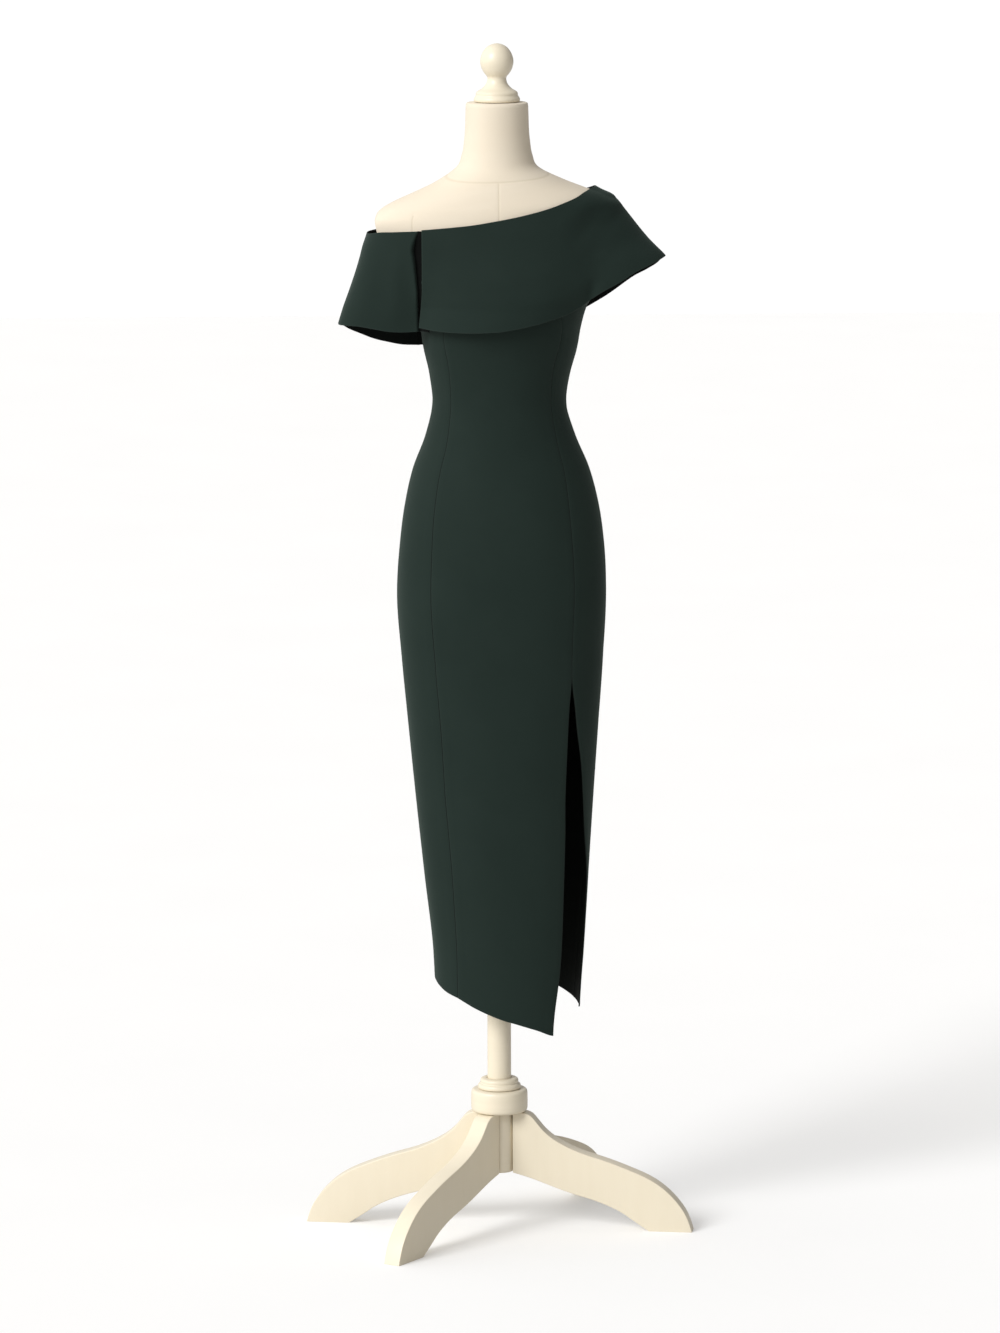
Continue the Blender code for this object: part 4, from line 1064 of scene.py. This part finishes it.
def enamel():
    """Green satin enamel on the zip's metal, rubbed bright on its edges."""
    material, tree, shader = new_material("zip_enamel", {"Roughness": 0.42, "Specular IOR Level": 0.5})
    place = add(tree, "TexCoord")
    coat = add(tree, "Group", {"Strokes": 2400.0, "Stain": 160.0},
               {"Vector": place.outputs["Object"]}, node_tree=BRUSHED)
    curve = add(tree, "NewGeometry")
    worn = add(tree, "MapRange", {"From Min": 0.52, "From Max": 0.6},
               {"Value": curve.outputs["Pointiness"]})
    tone = blend_colour(tree, coat.outputs["Tone"], ENAMEL_GREEN, GREEN_SHADE)
    final = blend_colour(tree, worn.outputs["Result"], tone, RUBBED_METAL)
    tree.links.new(worn.outputs["Result"], shader.inputs["Metallic"])
    finish(tree, shader, coat, final, roughness=(0.32, 0.55), strength=0.2, depth=0.00005)
    return material


def floor_and_light():
    """White floor, surroundings that dim to the wearer's left, and a soft high key light."""
    scene = bpy.context.scene
    scene.view_settings.view_transform = "Standard"
    scene.view_settings.look = "None"
    world = bpy.data.worlds.new("white_studio")
    scene.world = world
    world.use_nodes = True
    tree = world.node_tree
    path = add(tree, "LightPath")
    ground = tree.nodes["Background"]
    ground.inputs["Color"].default_value = WARM_WHITE
    seen = add(tree, "Background", {"Color": WHITE, "Strength": BACKDROP})
    around = add(tree, "TexCoord")
    parts = add(tree, "SeparateXYZ", None, {0: around.outputs["Generated"]})
    side = add(tree, "MapRange", {"From Min": -1.0, "To Min": AMBIENT[0], "To Max": AMBIENT[1]},
               {"Value": parts.outputs["X"]})
    tree.links.new(side.outputs["Result"], ground.inputs["Strength"])
    either = add(tree, "MixShader", None, {0: path.outputs["Is Camera Ray"], 1: ground.outputs[0],
                                           2: seen.outputs[0]})
    tree.links.new(either.outputs[0], tree.nodes["World Output"].inputs["Surface"])

    material, tree, shader = new_material("white_floor", {
        "Roughness": 0.9, "Specular IOR Level": 0.1,
        "Emission Strength": FLOOR_GLOW, "Emission Color": WHITE})
    place = add(tree, "TexCoord")
    grain = add(tree, "TexNoise", {"Scale": 3.0, "Detail": 3.0}, {"Vector": place.outputs["Object"]})
    pale = blend_colour(tree, grain.outputs["Fac"], FLOOR_WHITE, FLOOR_SHADE)
    ray = add(tree, "LightPath")
    final = blend_colour(tree, ray.outputs["Is Camera Ray"], FLOOR_BOUNCE, pale)
    tree.links.new(final, shader.inputs["Base Color"])
    corners = FLOOR_HALF * np.array(((-1, -1, 0), (1, -1, 0), (1, 1, 0), (-1, 1, 0)))
    floor = make_mesh("studio_floor", corners, [(0, 1, 2, 3)], (material,))

    lamp = bpy.data.lights.new("key_light", "SUN")
    lamp.energy = KEY_POWER
    lamp.angle = math.radians(KEY_SOFTNESS)
    light = bpy.data.objects.new("key_light", lamp)
    scene.collection.objects.link(light)
    light.location = KEY_FROM
    light.rotation_euler = (-Vector(KEY_FROM)).to_track_quat("-Z", "Y").to_euler()


def camera():
    """The photograph's view, from the place and at the turns given above."""
    lens = bpy.data.cameras.new("studio_camera")
    lens.lens = LENS
    lens.sensor_width = FILM_WIDTH
    lens.shift_x = SHIFT_ACROSS
    lens.clip_end = SEEN_TO
    eye = bpy.data.objects.new("studio_camera", lens)
    bpy.context.scene.collection.objects.link(eye)
    turn = (Matrix.Rotation(math.radians(-CAMERA_ROUND), 4, "Z")
            @ Matrix.Rotation(math.radians(90 - CAMERA_DOWN), 4, "X")
            @ Matrix.Rotation(math.radians(CAMERA_ROLL), 4, "Z"))
    eye.matrix_world = Matrix.Translation(CAMERA_AT) @ turn
    bpy.context.scene.camera = eye


camera()
WEAVE = weave_group()
NEAR_EDGE = edge_group()
BRUSHED = paint_group()
CREPE = crepe("bottle_green_crepe", BOTTLE_GREEN, GREEN_SHADE, PRESSED_AND_HIGHLIGHT_GREEN, 0.15)
# The wrong side: a darker back, painted near black as painted shade
CREPE_INSIDE_PAINTED_SHADE = crepe("crepe_wrong_side_painted_shade", INSIDE_AND_PAINTED_SHADE_GREEN, INSIDE_AND_PAINTED_SHADE_DARK, INSIDE_AND_PAINTED_SHADE_GREEN, 0.02)
COTTON = cotton()
PAINT_TURNED = paint("cream_paint_turned", (1.0, 1.0, 14.0))
PAINT_SAWN = paint("cream_paint_sawn", (6.0, 6.0, 1.0))
ENAMEL = enamel()
dress()
band()
form_cover()
for turned_piece in TURNED:
    turned(*turned_piece)
legs()
for node in ("zip_slider", "zip_pull"):
    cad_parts[node].data.materials.clear()
    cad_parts[node].data.materials.append(ENAMEL)
floor_and_light()
